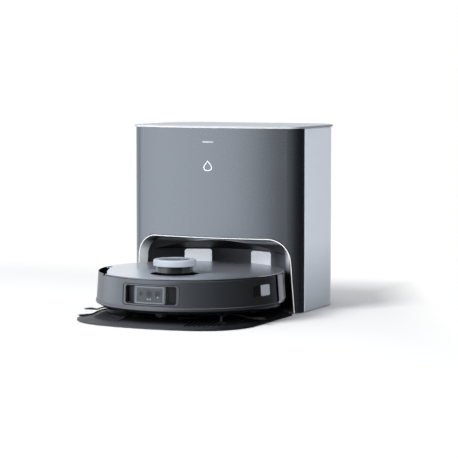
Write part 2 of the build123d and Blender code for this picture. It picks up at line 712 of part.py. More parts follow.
def main_board():
    board = box(-BOARD_X, BOARD_X, BOARD_FRONT, BOARD_BACK, BOARD_Z, BOARD_Z + 1.6)
    chips = []
    for across_share, along_share in CHIPS:
        x = across_share * BOARD_X
        y = BOARD_FRONT + along_share * (BOARD_BACK - BOARD_FRONT)
        chips.append(box(x, x + CHIP, y, y + CHIP, BOARD_Z + 1, BOARD_Z + 3.4))
    return board + chips


def gear_motors():
    # Separate drives: roller brush, two side brushes and the linked mop pair
    front = -BRUSH_FORWARD - BRUSH_RADIUS
    back = -BRUSH_FORWARD + BRUSH_RADIUS
    roller = box(CHAMBER_X / 2, CHAMBER_X, front, back, CHAMBER_TOP + 2, DECK_UNDER - 2)
    room = FRONT_R - WALL - GAP - SIDE_BRUSH_RING
    brush = post(room, FLOOR_TOP, FLOOR_TOP + BRUSH_MOTOR)
    brush = brush - post(BRUSH_SHAFT + FIT, 0, FLOOR_TOP + HUB_SHAFT + 2)
    brush = Pos(SIDE_BRUSH_X, -SIDE_BRUSH_FORWARD, 0) * brush
    mop = Pos(0, MOP_BACK, 0) * extrude(SlotCenterToCenter(2 * MOP_X, 44), FAN_LOW - 3 - FLOOR_TOP)
    mop = Pos(0, 0, FLOOR_TOP) * mop
    for side in (-1, 1):
        mop = mop - post(MOP_SHAFT + FIT, 0, FAN_LOW - 8, side * MOP_X, MOP_BACK)
    return roller + both(brush) + mop


def brush_guard():
    edge_x = CHAMBER_X + 8
    edge_y = CHAMBER_Y + 6
    frame = extrude(RectangleRounded(2 * edge_x, 2 * edge_y, 6), 2.4)
    frame = frame - extrude(RectangleRounded(2 * CHAMBER_X - 2, 2 * BRUSH_RADIUS + 3, 3), 5)
    return Pos(0, -BRUSH_FORWARD, CHASSIS_BOTTOM - 2.4) * frame


# Robot moving pieces under the floor
def main_brush():
    star = Circle(BRUSH_RADIUS / 2 - 1)
    for k in range(BRUSH_BLADES):
        blade = Pos(BRUSH_RADIUS / 2, 0) * Rectangle(BRUSH_RADIUS, 2)
        star = star + Rot(0, 0, k * 360 / BRUSH_BLADES) * (blade & Circle(BRUSH_RADIUS))
    half = Solid.extrude_linear_with_rotation(star.face(), (0, 0, 0), (0, 0, BRUSH_LENGTH / 2), 40)
    whole = half + mirror(half, Plane.XY)
    ends = post(JOURNAL, -CHAMBER_X - WALL + GAP, CHAMBER_X + WALL - GAP)
    return Pos(0, -BRUSH_FORWARD, BRUSH_AXIS) * Rot(0, 90, 0) * (whole + ends)


def brush_arm():
    tip = ARM_TIP + ARM_DEPTH
    high = HUB_HIGH - 0.6
    root = HUB_R - 3
    bend = 0.75 * SIDE_BRUSH_ARM
    top = Bezier((root, high), (bend + 2, high), (bend, tip), (SIDE_BRUSH_ARM, tip))
    under = Pos(0, -ARM_DEPTH) * top
    edges = [
        top,
        Line((SIDE_BRUSH_ARM, tip), (SIDE_BRUSH_ARM, ARM_TIP)),
        under,
        Line((root, high - ARM_DEPTH), (root, high)),
    ]
    arm = inward(make_face(edges), -ARM_HALF, ARM_HALF)
    strands = []
    for i in range(TUFT_ROWS):
        for j in range(TUFT_LAYERS):
            y = (i - (TUFT_ROWS - 1) / 2) * STRAND_STEP_Y
            z = ARM_TIP + ARM_DEPTH / 2 + (j - (TUFT_LAYERS - 1) / 2) * STRAND_STEP_Z
            start = Vector(SIDE_BRUSH_ARM - 0.4, y, z)
            end = Vector(SIDE_BRUSH_REACH, y * FAN_OUT, z - STRAND)
            plane = Plane(start, x_dir=(0, 0, 1), z_dir=(1, 0, 0))
            strands.append(Solid.extrude((plane * RegularPolygon(STRAND, 3)).face(), end - start))
    return arm.fuse(*strands)


def side_brush():
    arm = brush_arm()
    hub = post(HUB_R, HUB_LOW, HUB_HIGH) + post(BRUSH_SHAFT, HUB_HIGH - 1, FLOOR_TOP + HUB_SHAFT)
    arms = [Rot(0, 0, SIDE_BRUSH_TURN + k * 360 / SIDE_BRUSH_ARMS) * arm for k in range(SIDE_BRUSH_ARMS)]
    return Pos(SIDE_BRUSH_X, -SIDE_BRUSH_FORWARD, 0) * hub.fuse(*arms)


def mop_plate():
    plate = post(MOP_RADIUS - 6, MOP_LOW + MOP_PAD, CHASSIS_BOTTOM - 3)
    plate = plate + post(MOP_SHAFT, CHASSIS_BOTTOM - 4, FAN_LOW - 9)
    return Pos(MOP_X, MOP_BACK, 0) * plate


def mop_pad():
    pad = post(MOP_RADIUS, MOP_LOW, MOP_LOW + MOP_PAD)
    return Pos(MOP_X, MOP_BACK, 0) * fillet(pad.edges(), 2)


def suspension_arm():
    pill = Pos(PIVOT_Y / 2, 0) * SlotCenterToCenter(PIVOT_Y, 2 * ARM_RADIUS)
    body = across(pill, ARM_IN, ARM_OUT)
    body = Pos(0, 0, WHEEL_RADIUS) * body
    reach = LUG + GAP - 0.5
    body = body + rod_x(TRUNNION, ARM_IN - reach, ARM_OUT + reach, PIVOT_Y, PIVOT_Z)
    return body - rod_x(AXLE + FIT, ARM_IN + 3, ARM_OUT + 1, 0, WHEEL_RADIUS)


def wheel_hub():
    inner = WHEEL_X - WHEEL_WIDTH / 2
    outer = WHEEL_X + WHEEL_WIDTH / 2
    radius = WHEEL_RADIUS - TYRE_DEPTH
    hub = rod_x(radius, inner, outer, 0, WHEEL_RADIUS)
    dish = rod_x(radius - 4, outer - 5, outer + 1, 0, WHEEL_RADIUS)
    dish = dish - rod_x(8, outer - 6, outer - 1, 0, WHEEL_RADIUS)
    return hub - dish + rod_x(AXLE, ARM_IN + 4, inner + 1, 0, WHEEL_RADIUS)


def wheel_tyre():
    inner = WHEEL_X - WHEEL_WIDTH / 2
    outer = WHEEL_X + WHEEL_WIDTH / 2
    tyre = rod_x(WHEEL_RADIUS, inner, outer, 0, WHEEL_RADIUS)
    tyre = tyre - rod_x(WHEEL_RADIUS - TYRE_DEPTH + FIT, inner - 1, outer + 1, 0, WHEEL_RADIUS)
    groove = Pos(0, 0, WHEEL_RADIUS - 2.5) * box(inner - 1, outer + 1, -2, 2, 0, 5)
    axis = Pos(0, 0, WHEEL_RADIUS)
    grooves = [axis * Rot(k * 360 / TREAD_COUNT, 0, 0) * groove for k in range(TREAD_COUNT)]
    return tyre - grooves


def caster_fork():
    y = CASTER_TRAIL
    plate = post(CASTER_WELL - 7, CASTER_TOP - 6, CASTER_TOP - 2)
    stem = post(STEM, CASTER_TOP - 3, STEM_TOP)
    leg = Pos(0, y, CASTER_RADIUS) * box(LEG_IN, LEG_IN + 3, -5, 5, 0, CASTER_TOP - 5 - CASTER_RADIUS)
    leg = leg + rod_x(5, LEG_IN, LEG_IN + 3, y, CASTER_RADIUS)
    leg = leg - rod_x(2.5 + FIT, 0, 2 * LEG_IN, y, CASTER_RADIUS)
    return Pos(0, -CASTER_FORWARD, 0) * (plate + stem + both(leg))


def caster_wheel():
    wheel = rod_x(CASTER_RADIUS, -CASTER_WIDTH / 2, CASTER_WIDTH / 2, CASTER_TRAIL, CASTER_RADIUS)
    wheel = chamfer(wheel.edges(), 1.5)
    axle = rod_x(2.5, -LEG_IN - 2.5, LEG_IN + 2.5, CASTER_TRAIL, CASTER_RADIUS)
    return Pos(0, -CASTER_FORWARD, 0) * (wheel + axle)


# Station shell
def front_panel():
    skin = upright(0, FOOT_HEIGHT + 0.5, SHELL_TOP) - upright(WALL, 0, STATION_HEIGHT)
    skin = skin & before(Y_SEAM)
    skin = skin - inward(arch(0), -DEPTH, DEPTH)
    light = box(-LIGHT_X, LIGHT_X, -DEPTH, 0, LIGHT_Z, LIGHT_Z + LIGHT_HEIGHT)
    return skin - (upright(-1, LIGHT_Z, LIGHT_Z + LIGHT_HEIGHT) - upright(1.2, 0, SHELL_TOP) & shifted(light))


def shifted(shape):
    return Pos(0, Y_SEAM, 0) * shape


def status_light():
    strip = upright(0, LIGHT_Z + FIT, LIGHT_Z + LIGHT_HEIGHT - FIT) - upright(1.2 - FIT, 0, SHELL_TOP)
    return strip & shifted(box(-LIGHT_X + FIT, LIGHT_X - FIT, -DEPTH, 0, 0, SHELL_TOP))


def outer_shell():
    skin = upright(0, FOOT_HEIGHT + 0.5, SHELL_TOP) - upright(WALL, 0, STATION_HEIGHT)
    ledge = upright(WALL - 1, DECK_HEIGHT - 4, DECK_HEIGHT) - upright(WALL + 6, 0, STATION_HEIGHT)
    body = (skin + ledge) & behind(Y_SEAM + SEAM)
    return body - box(*INLET_HOLE, Y_BACK - 2 * WALL, Y_BACK + 1, INLET_Z, INLET_Z + INLET_HEIGHT)


def power_inlet():
    half = INLET_WIDTH / 2 - FIT
    low = INLET_Z + FIT
    high = INLET_Z + INLET_HEIGHT - FIT
    body = box(INLET_X - half, INLET_X + half, Y_BACK - 24, Y_BACK - FIT, low, high)
    middle = INLET_Z + INLET_HEIGHT / 2
    socket = Pos(INLET_X, middle) * SlotCenterToCenter(8, 9)
    body = body - inward(socket, Y_BACK - 14, Y_BACK + 1)
    pins = [rod_y(1.2, Y_BACK - 15, Y_BACK - 4, INLET_X + x, middle) for x in (-4.3, 4.3)]
    return body + pins


def arch_trim():
    ring = inward(arch(SEAM), Y_APEX - 9, Y_SEAM - TRIM_BACK)
    bend = Y_SEAM - FRONT_CORNER
    ring = ring - inward(arch(TRIM_EDGE), Y_APEX - 10, bend)
    faces = []
    for y, inset in ((bend, TRIM_EDGE), (Y_SEAM - TRIM_BACK, TRIM_EDGE + TRIM_FUNNEL)):
        faces.append(Plane((0, y, 0), x_dir=(1, 0, 0), z_dir=(0, -1, 0)) * arch(inset))
    ring = ring - loft(faces, ruled=True)
    return ring & upright(-TRIM_PROUD, FOOT_HEIGHT + 0.5, STATION_HEIGHT)


def bay_roof(extra):
    # Solid of revolution round the parked robot: upright wall, then a rising roof
    radius = BAY_R + extra
    rise = BAY_STEP + extra + radius * math.tan(math.radians(BAY_ROOF_SLOPE))
    step = BAY_STEP + extra
    dome = turned((0, -TRAY_TOP), (radius, -TRAY_TOP), (radius, step), (0, rise))
    return Pos(0, Y_ROBOT, 0) * dome


def bay_liner():
    inset = TRIM_EDGE + TRIM_FUNNEL
    front = Y_SEAM - TRIM_BACK + FIT
    outer = inward(arch(inset - BAY_WALL), front, DEPTH)
    inner = inward(arch(inset), front - 1, DEPTH)
    body = (outer & bay_roof(BAY_WALL)) + (outer & before(front + 4))
    body = body - (inner & bay_roof(0))
    body = body & box(-HALF, HALF, -DEPTH, DEPTH, FOOT_HEIGHT + 0.5, STATION_HEIGHT)
    body = body - both(box(*contact_window(GAP)))
    return body - box(-DUCT_X, DUCT_X, Y_ROBOT + BAY_R - 9, Y_ROBOT + BAY_R + 9, DUCT_LOW, DUCT_HIGH)


def contact_window(gap):
    back = Y_ROBOT + BAY_R + 12
    front = Y_ROBOT + BAY_R - 24
    half = DOCK_WIDTH / 2 + gap
    return (DOCK_X - half, DOCK_X + half, front, back, DOCK_LOW - gap, DOCK_HIGH + gap)


def dock_contacts():
    inner_edge = DOCK_X - DOCK_WIDTH / 2
    reach = math.sqrt((wall_r(CONTACT_LOW) + ROLL_GAP) ** 2 - inner_edge**2)
    x0, x1, _, back, z0, z1 = contact_window(0)
    bar = box(x0, x1, Y_ROBOT + reach + GAP, back, z0, z1)
    bar = fillet(bar.edges().group_by(Axis.Y)[0].filter_by(Axis.X), 3)
    flange_y = Y_ROBOT + math.sqrt((BAY_R + BAY_WALL) ** 2 - (inner_edge - 2) ** 2) + GAP
    flange = box(x0 - 2, x1 + 2, flange_y, flange_y + 3, z0 - 2, z1 + 2)
    return pair(bar + flange)


def dock_reflectors():
    high = BAY_STEP - 2
    ring = turned(
        (BAY_R - 1.2, high - REFLECTOR_HEIGHT),
        (BAY_R - FIT, high - REFLECTOR_HEIGHT),
        (BAY_R - FIT, high),
        (BAY_R - 1.2, high),
    )
    stencil = inward(rounded(REFLECTOR_WIDTH, high - REFLECTOR_HEIGHT, high, 5), -2 * BAY_R, 0)
    plates = [
        Pos(0, Y_ROBOT, 0) * (ring & Rot(0, 0, 180 + side * REFLECTOR_ANGLE) * stencil) for side in (-1, 1)
    ]
    return Compound(children=plates)


def station_base():
    plate = upright(WALL + GAP, FOOT_HEIGHT, FOOT_HEIGHT + 4) & behind(Y_SEAM - TRIM_BACK + 5)
    return plate - post(BAY_R + BAY_WALL + GAP, 0, TRAY_TOP, 0, Y_ROBOT)


def rubber_feet():
    spots = [(HALF - 22, Y_BACK - REAR_CORNER), (HALF - 109, Y_BACK - 30)]
    spots += [(HALF - 89, Y_TRAY + 60), (HALF - 89, Y_ROBOT + 60)]
    feet = []
    for x, y in spots:
        feet += [post(9, 0, FOOT_HEIGHT, side * x, y) for side in (-1, 1)]
    return Compound(children=feet)


def tank_deck():
    plate = upright(WALL + GAP, DECK_HEIGHT, DECK_HEIGHT + WALL)
    for side in (-1, 1):
        plate = plate - post(9, 0, STATION_HEIGHT, side * HALF / 2, TANK_MIDDLE)
    return plate


def tank_block(inset, z0, z1):
    side = upright(TANK_INSET + inset, z0, z1) & before(TANK_BACK - inset)
    return side & box(TANK_SPLIT + inset, HALF, -DEPTH, DEPTH, z0, z1)


def water_tank():
    tank = tank_block(0, TANK_FLOOR, TANK_TOP) - tank_block(2.5, TANK_FLOOR + 2.5, TANK_TOP + 1)
    return tank + post(8, DECK_HEIGHT - 8, TANK_FLOOR + 1, HALF / 2, TANK_MIDDLE)


def tank_lid():
    lid = tank_block(0, TANK_TOP, TANK_TOP + 4) + (tank_block(3, TANK_TOP - 5, TANK_TOP + 1))
    lid = lid - tank_block(6, TANK_TOP - 6, TANK_TOP + 1)
    grip = box(-45, 45, -9, 9, TANK_TOP + 3, TANK_TOP + 18)
    grip = fillet(grip.edges().filter_by(Axis.Z), 6)
    grip = grip - box(-35, 35, -10, 10, TANK_TOP + 4, TANK_TOP + 13)
    cap = post(15, TANK_TOP + 3, TANK_TOP + 10, 0, -58)
    return lid + Pos(HALF / 2, TANK_MIDDLE, 0) * (grip + cap)


def water_pumps():
    pump = rod_y(17, Y_BACK - 90, Y_BACK - 40, 0, BASE_TOP + 17)
    pump = pump + rod_y(4, Y_BACK - 98, Y_BACK - 88, 0, BASE_TOP + 26)
    pump = pump + box(-12, 12, Y_BACK - 84, Y_BACK - 46, BASE_TOP, BASE_TOP + 8)
    return Compound(children=[Pos(x, 0, 0) * pump for x in PUMPS])


def power_supply():
    body = box(SUPPLY_X, SUPPLY_X + SUPPLY_WIDTH, Y_BACK - 96, Y_BACK - 30, BASE_TOP, BASE_TOP + 60)
    return fillet(body.edges().filter_by(Axis.Z), 4)


def dryer_housing():
    wall = 2.5
    room = post(DRYER_R - wall, BASE_TOP + wall, DRYER_TOP - wall, 0, DRYER_Y)
    start = Y_ROBOT + BAY_R + BAY_WALL + GAP
    end = DRYER_Y - DRYER_R / 2
    duct = box(-DUCT_X, DUCT_X, start, end, DUCT_LOW, DUCT_HIGH)
    outer = box(-DUCT_X - wall, DUCT_X + wall, start, end, DUCT_LOW - wall, DUCT_HIGH + wall)
    body = post(DRYER_R, BASE_TOP, DRYER_TOP, 0, DRYER_Y) + outer
    inlet = post(DRYER_R / 2, DRYER_TOP - 5, DRYER_TOP + 1, 0, DRYER_Y)
    return body - room - duct - inlet + post(7, BASE_TOP, BASE_TOP + 8, 0, DRYER_Y) - dryer_shaft(FIT)


def dryer_shaft(extra):
    return post(BRUSH_SHAFT + extra, BASE_TOP + 1, BASE_TOP + 12, 0, DRYER_Y)


def dryer_impeller():
    low = BASE_TOP + 10
    high = DRYER_TOP - 6
    radius = DRYER_R - 9
    wheel = post(radius, low, low + 2) + post(8, low, low + 16)
    blade = Pos(radius - 9, 0, 0) * Rot(0, 0, 35) * box(-5, 5, -0.7, 0.7, low + 1, high)
    blades = [Rot(0, 0, k * 360 / 24) * blade for k in range(24)]
    hoop = post(radius - 2, high - 2, high) - post(radius - 14, high - 3, high + 1)
    return Pos(0, DRYER_Y, 0) * (wheel + blades + hoop) + dryer_shaft(0)


def top_lid():
    top = STATION_HEIGHT + LID_THICKNESS
    plate = extrude(plan(-LID_OVERHANG), LID_THICKNESS)
    plate = Pos(0, 0, LID_UNDER) * chamfer(plate.edges().group_by(Axis.Z)[-1], 0.8)
    plate = plate & before(Y_HINGE)
    plate = plate + rod_x(BARREL, -BARREL_X, BARREL_X, Y_HINGE, top - BARREL)
    rim = upright(7, LID_UNDER - 6, LID_UNDER + 1) - upright(10, 0, top)
    plate = plate + (rim & before(Y_HINGE - 24))
    for side in (-1, 1):
        bore = rod_x(PIN + FIT, -14, 14, Y_HINGE, top - BARREL)
        plate = plate - Pos(side * BARREL_X, 0, 0) * bore
    return plate


def lid_hinge_rail():
    top = STATION_HEIGHT + LID_THICKNESS
    strip = extrude(plan(-LID_OVERHANG), LID_THICKNESS)
    strip = Pos(0, 0, LID_UNDER) * chamfer(strip.edges().group_by(Axis.Z)[-1], 0.8)
    strip = strip & behind(Y_HINGE + BARREL + GAP) & before(Y_BACK)
    inside = upright(WALL + GAP, LID_UNDER - 10, LID_UNDER + 1) & behind(Y_HINGE + BARREL + GAP)
    strip = strip + inside
    ear = box(BARREL_X + GAP, BARREL_X + GAP + 4, Y_HINGE - 4, Y_HINGE + 8, LID_UNDER - 10, LID_UNDER - 1)
    ear = ear + rod_x(PIN, BARREL_X - 12, BARREL_X + GAP + 1, Y_HINGE, top - BARREL)
    return strip + both(ear)


# Tray with a flat border, a ramp rising to the robot's wheels, tread ribs and two mop basins
def tray_outline(inset):
    half = STATION_WIDTH / 2 - TRAY_SIDE - inset
    neck = ARCH_WIDTH / 2 - 2 - inset
    mouth = Y_SEAM - FRONT_CORNER - 2
    points = [(-neck, mouth), (-half, Y_APEX), (-half, Y_TRAY - TRAY_BOW)]
    points += [(-x, y) for x, y in reversed(points)]
    face = make_face(Polyline(*points, close=True))
    face = face & Pos(0, Y_TRAY + TRAY_BOW) * Circle(TRAY_BOW - inset)
    return fillet(face.vertices().group_by(Axis.Y)[0], TRAY_CORNER - inset)


def mound(rise):
    # Round ramp about the parked robot, lifted by rise below its flat top
    foot = TRAY_LIP_HEIGHT + rise
    knee = PLATEAU_R + (RAMP_R - PLATEAU_R) * rise / (TRAY_TOP - TRAY_LIP_HEIGHT)
    cone = turned((0, FOOT_HEIGHT), (RAMP_R, FOOT_HEIGHT), (RAMP_R, foot), (knee, TRAY_TOP), (0, TRAY_TOP))
    return Pos(0, Y_ROBOT, 0) * cone


def ramp_tray():
    body = Pos(0, 0, FOOT_HEIGHT) * extrude(tray_outline(0), TRAY_LIP_HEIGHT - FOOT_HEIGHT)
    body = body + (mound(0) & extrude(tray_outline(TRAY_BORDER), 2 * TRAY_TOP))
    inside = ARCH_WIDTH / 2 - TRIM_EDGE - TRIM_FUNNEL - 3
    tail = box(-inside, inside, Y_APEX, Y_BACK, FOOT_HEIGHT, TRAY_TOP)
    tail = tail & post(BAY_R - GAP, 0, 2 * TRAY_TOP, 0, Y_ROBOT)
    throat = math.sqrt((BAY_R - GAP) ** 2 - (Y_SEAM - TRIM_BACK - Y_ROBOT) ** 2) - 4
    body = body + (tail - both(box(throat, HALF, Y_SEAM - TRIM_BACK - 2, Y_BACK, 0, 2 * TRAY_TOP)))
    centres = [Pos(side * MOP_X, Y_ROBOT + MOP_BACK, 0) for side in (-1, 1)]
    for centre in centres:
        body = body - centre * post(MOP_RADIUS + 3, TRAY_TOP - 3.5, 2 * TRAY_TOP)
    scraper = box(12, MOP_RADIUS - 4, -1, 1, TRAY_TOP - 4, TRAY_TOP)
    for centre in centres:
        body = body + [centre * Rot(0, 0, k * 45 + 22.5) * scraper for k in range(8)]
    ribs = []
    for k in range(RIB_COUNT):
        x = RIB_INNER + k * RIB_PITCH
        start = Y_ROBOT - math.sqrt(RAMP_R**2 - x**2)
        rib = box(x - 1, x + 1, start, start + RIB_LENGTH, FOOT_HEIGHT, TRAY_TOP) & mound(RIB_RISE)
        ribs += [rib, mirror(rib, Plane.YZ)]
    return body + ribs


right = {
    "side_brush": side_brush(),
    "suspension_arm": suspension_arm(),
    "wheel_hub": wheel_hub(),
    "wheel_tyre": wheel_tyre(),
    "mop_plate": mop_plate(),
    "mop_pad": mop_pad(),
}
robot = {
    "chassis": chassis(),
    "upper_shell": upper_shell(),
    "top_cover": top_cover(),
    "bumper": bumper(),
    "bumper_bezel": bumper_bezel(),
    "side_sensor_window": sensor_piece(SENSOR_WINDOW, -(SENSOR_LENS + FIT) / 2, 0.8),
    "side_sensor_lens": sensor_piece(SENSOR_LENS, (SENSOR_WINDOW + FIT) / 2, 0.2),
    "camera_housing": camera_housing(),
    "camera_glass": camera_glass(),
    "camera_lenses": camera_lenses(),
    "turret_window": turret_window(),
    "turret_cap": turret_cap(),
    "power_button": power_button(),
    "lidar_rotor": lidar_rotor(),
    "dust_bin": dust_bin(),
    "dust_bin_lid": dust_bin_lid(),
    "dust_filter": dust_filter(),
    "fan_housing": fan_housing(),
    "fan_impeller": fan_impeller(),
    "battery_pack": battery_pack(),
    "main_board": main_board(),
    "gear_motors": gear_motors(),
    "brush_guard": brush_guard(),
    "main_brush": main_brush(),
    "charge_contacts": charge_contacts(),
    "caster_fork": caster_fork(),
    "caster_wheel": caster_wheel(),
}
for name, shape in right.items():
    robot[name + "_right"] = shape
    robot[name + "_left"] = mirror(shape, Plane.YZ)
tank = water_tank()
nodes = {
    "ramp_tray": ramp_tray(),
    "station_base": station_base(),
    "rubber_feet": rubber_feet(),
    "front_panel": front_panel(),
    "status_light": status_light(),
    "outer_shell": outer_shell(),
    "arch_trim": arch_trim(),
    "bay_liner": bay_liner(),
    "dock_reflectors": dock_reflectors(),
    "dock_contacts": dock_contacts(),
    "tank_deck": tank_deck(),
    "clean_water_tank": mirror(tank, Plane.YZ),
    "waste_water_tank": tank,
    "tank_lids": pair(tank_lid()),
    "water_pumps": water_pumps(),
    "power_supply": power_supply(),
    "power_inlet": power_inlet(),
    "dryer_housing": dryer_housing(),
    "dryer_impeller": dryer_impeller(),
    "top_lid": top_lid(),
    "lid_hinge_rail": lid_hinge_rail(),
}
for name, shape in robot.items():
    nodes[name] = ROBOT_PLACE * shape

os.makedirs("parts", exist_ok=True)
for name, shape in nodes.items():
    export_step(shape, f"parts/{name}.step")
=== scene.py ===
import math
import random

import bmesh
import bpy
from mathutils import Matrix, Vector, noise


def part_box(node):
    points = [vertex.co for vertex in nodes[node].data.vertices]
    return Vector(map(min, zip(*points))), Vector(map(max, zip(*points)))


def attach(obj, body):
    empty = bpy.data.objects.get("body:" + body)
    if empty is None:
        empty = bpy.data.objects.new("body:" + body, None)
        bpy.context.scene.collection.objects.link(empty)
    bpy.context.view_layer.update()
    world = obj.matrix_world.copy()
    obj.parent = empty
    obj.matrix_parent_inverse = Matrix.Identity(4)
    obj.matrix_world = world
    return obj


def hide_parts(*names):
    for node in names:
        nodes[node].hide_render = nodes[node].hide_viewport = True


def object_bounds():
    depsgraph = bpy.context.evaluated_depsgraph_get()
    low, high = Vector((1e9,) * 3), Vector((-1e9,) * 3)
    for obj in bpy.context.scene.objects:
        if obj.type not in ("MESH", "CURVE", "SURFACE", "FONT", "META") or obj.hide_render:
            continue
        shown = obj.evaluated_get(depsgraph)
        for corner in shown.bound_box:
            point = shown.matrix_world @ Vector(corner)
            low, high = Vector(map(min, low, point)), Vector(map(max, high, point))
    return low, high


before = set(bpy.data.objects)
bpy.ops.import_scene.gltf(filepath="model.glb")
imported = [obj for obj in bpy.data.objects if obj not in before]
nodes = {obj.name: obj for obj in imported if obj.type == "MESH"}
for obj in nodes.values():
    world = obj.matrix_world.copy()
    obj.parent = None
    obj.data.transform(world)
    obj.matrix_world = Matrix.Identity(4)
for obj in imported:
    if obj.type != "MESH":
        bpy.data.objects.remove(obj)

cad_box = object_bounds()
rng = random.Random(7)

MM = 0.001
UP = Vector((0, 0, 1))
SIDES = ("left", "right")


def lin(r, g, b):
    # An sRGB colour, 0 to 255, as the linear values that shaders use
    def one(v):
        v = v / 255.0
        return v / 12.92 if v <= 0.04045 else ((v + 0.055) / 1.055) ** 2.4
    return (one(r), one(g), one(b))


def centre(node):
    low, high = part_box(node)
    return [(a + b) / 2 for a, b in zip(low, high)]


robot_y = centre("top_cover")[1]
seam_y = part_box("outer_shell")[0][1]


# Shader trees
class Graph:
    # A tree of nodes, with short names for the ones in use here
    def __init__(self, tree):
        self.tree = tree
        self.tree.nodes.clear()

    def add(self, kind, **values):
        node = self.tree.nodes.new(kind)
        for key, value in values.items():
            setattr(node, key, value)
        return node

    def link(self, a, b):
        self.tree.links.new(a, b)

    def feed(self, socket, value):
        # A link where the value comes from a node, otherwise the plain number or colour
        if hasattr(value, "is_output"):
            self.link(value, socket)
        elif isinstance(value, tuple) and len(value) == 3:
            socket.default_value = (*value, 1.0)
        else:
            socket.default_value = value

    def math(self, op, a, b=0.0):
        node = self.add("ShaderNodeMath", operation=op)
        self.feed(node.inputs[0], a)
        self.feed(node.inputs[1], b)
        return node.outputs[0]

    def times(self, *factors):
        product = factors[0]
        for factor in factors[1:]:
            product = self.math("MULTIPLY", product, factor)
        return product

    def rest(self, share):
        return self.math("SUBTRACT", 1.0, share)

    def hypot(self, a, b):
        return self.math("SQRT", self.math("ADD", self.times(a, a), self.times(b, b)))

    def split(self, vector):
        node = self.add("ShaderNodeSeparateXYZ")
        self.link(vector, node.inputs[0])
        return node.outputs

    def step(self, value, low, high):
        # Zero at the first limit, one at the second
        node = self.add("ShaderNodeMapRange")
        self.link(value, node.inputs["Value"])
        node.inputs["From Min"].default_value = low
        node.inputs["From Max"].default_value = high
        return node.outputs[0]

    def band(self, value, rise, fall):
        # One between two ramps, zero outside them
        return self.times(self.step(value, *rise), self.step(value, *fall))

    def mix(self, factor, a, b):
        node = self.add("ShaderNodeMix", data_type="RGBA")
        self.link(factor, node.inputs[0])
        self.feed(node.inputs[6], a)
        self.feed(node.inputs[7], b)
        return node.outputs[2]

    def blend(self, factor, a, b):
        node = self.add("ShaderNodeMixShader")
        for socket, value in zip(node.inputs, (factor, a, b)):
            self.link(value, socket)
        return node.outputs[0]


def around(colour, share):
    return tuple(c * (1 - share) for c in colour), tuple(min(1.0, c * (1 + share)) for c in colour)


# Pattern scales per metre (metal flakes, fine grain, slow clouds of the gloss) and what finishes share
FLAKES = 1400.0
GRAIN = 900.0
CLOUDS = 9.0
FINE_DETAIL = 3.0
GRAIN_BUMP = 0.03
GRAIN_DEPTH = 0.0002
SMOOTHEST = 0.02
COAT_ROUGH = 0.08
NOISE_RANGE = (0.3, 0.7)
CLEAR_IOR = 1.45


class Nodes(Graph):
    # The tree of one finish
    def __init__(self, name):
        self.material = bpy.data.materials.new(name)
        self.material.use_nodes = True
        super().__init__(self.material.node_tree)
        self.out = self.add("ShaderNodeOutputMaterial")
        self.bsdf = self.add("ShaderNodeBsdfPrincipled")
        self.link(self.bsdf.outputs[0], self.out.inputs[0])
        self.coords = self.add("ShaderNodeTexCoord")
        self.place = self.coords.outputs["Object"]

    def axes(self):
        return self.split(self.place)

    def facing(self):
        # The way the surface faces, as x, y and z
        return self.split(self.coords.outputs["Normal"])

    def from_robot(self):
        # Place across and along from the robot's axis
        x, y, _ = self.axes()
        return x, self.math("SUBTRACT", y, robot_y)

    def noise(self, scale, detail=2.0, stretch=None):
        node = self.add("ShaderNodeTexNoise")
        node.inputs["Scale"].default_value = scale
        node.inputs["Detail"].default_value = detail
        vector = self.place
        if stretch:
            mapping = self.add("ShaderNodeMapping")
            mapping.inputs["Scale"].default_value = stretch
            self.link(vector, mapping.inputs["Vector"])
            vector = mapping.outputs[0]
        self.link(vector, node.inputs["Vector"])
        return node.outputs["Fac"]

    def speckle(self, scale, colour, share):
        return self.mix(self.noise(scale, FINE_DETAIL), *around(colour, share))

    def from_cell_wall(self, scale):
        # Distance from the walls between irregular cells, in parts of a cell
        node = self.add("ShaderNodeTexVoronoi", feature="DISTANCE_TO_EDGE")
        node.inputs["Scale"].default_value = scale
        self.link(self.place, node.inputs["Vector"])
        return node.outputs["Distance"]

    def span(self, value, low, high):
        # A noise spread over the numbers from low to high
        node = self.add("ShaderNodeMapRange")
        self.link(value, node.inputs["Value"])
        node.inputs["From Min"].default_value = NOISE_RANGE[0]
        node.inputs["From Max"].default_value = NOISE_RANGE[1]
        node.inputs["To Min"].default_value = low
        node.inputs["To Max"].default_value = high
        return node.outputs[0]

    def bump(self, height, strength, distance):
        node = self.add("ShaderNodeBump")
        node.inputs["Strength"].default_value = strength
        node.inputs["Distance"].default_value = distance
        self.link(height, node.inputs["Height"])
        self.link(node.outputs[0], self.bsdf.inputs["Normal"])

    def set(self, **values):
        for key, value in values.items():
            self.feed(self.bsdf.inputs[key.replace("_", " ")], value)


def paint(name, colour, rough, metal=0.0, grain=GRAIN, share=0.05, spread=0.04, bump=GRAIN_BUMP, coat=0.0):
    # Moulded or painted surface: fine flakes or grain with slow unevenness of the gloss
    n = Nodes(name)
    flakes = n.noise(grain, FINE_DETAIL)
    n.tint = n.mix(flakes, *around(colour, share))
    n.set(Base_Color=n.tint, Metallic=metal)
    uneven = n.math("MULTIPLY", n.math("ADD", flakes, n.noise(CLOUDS)), 0.5)
    n.set(Roughness=n.span(uneven, max(SMOOTHEST, rough - spread), rough + spread))
    if coat:
        n.set(Coat_Weight=coat, Coat_Roughness=COAT_ROUGH)
    if bump:
        n.bump(flakes, bump, GRAIN_DEPTH)
    return n


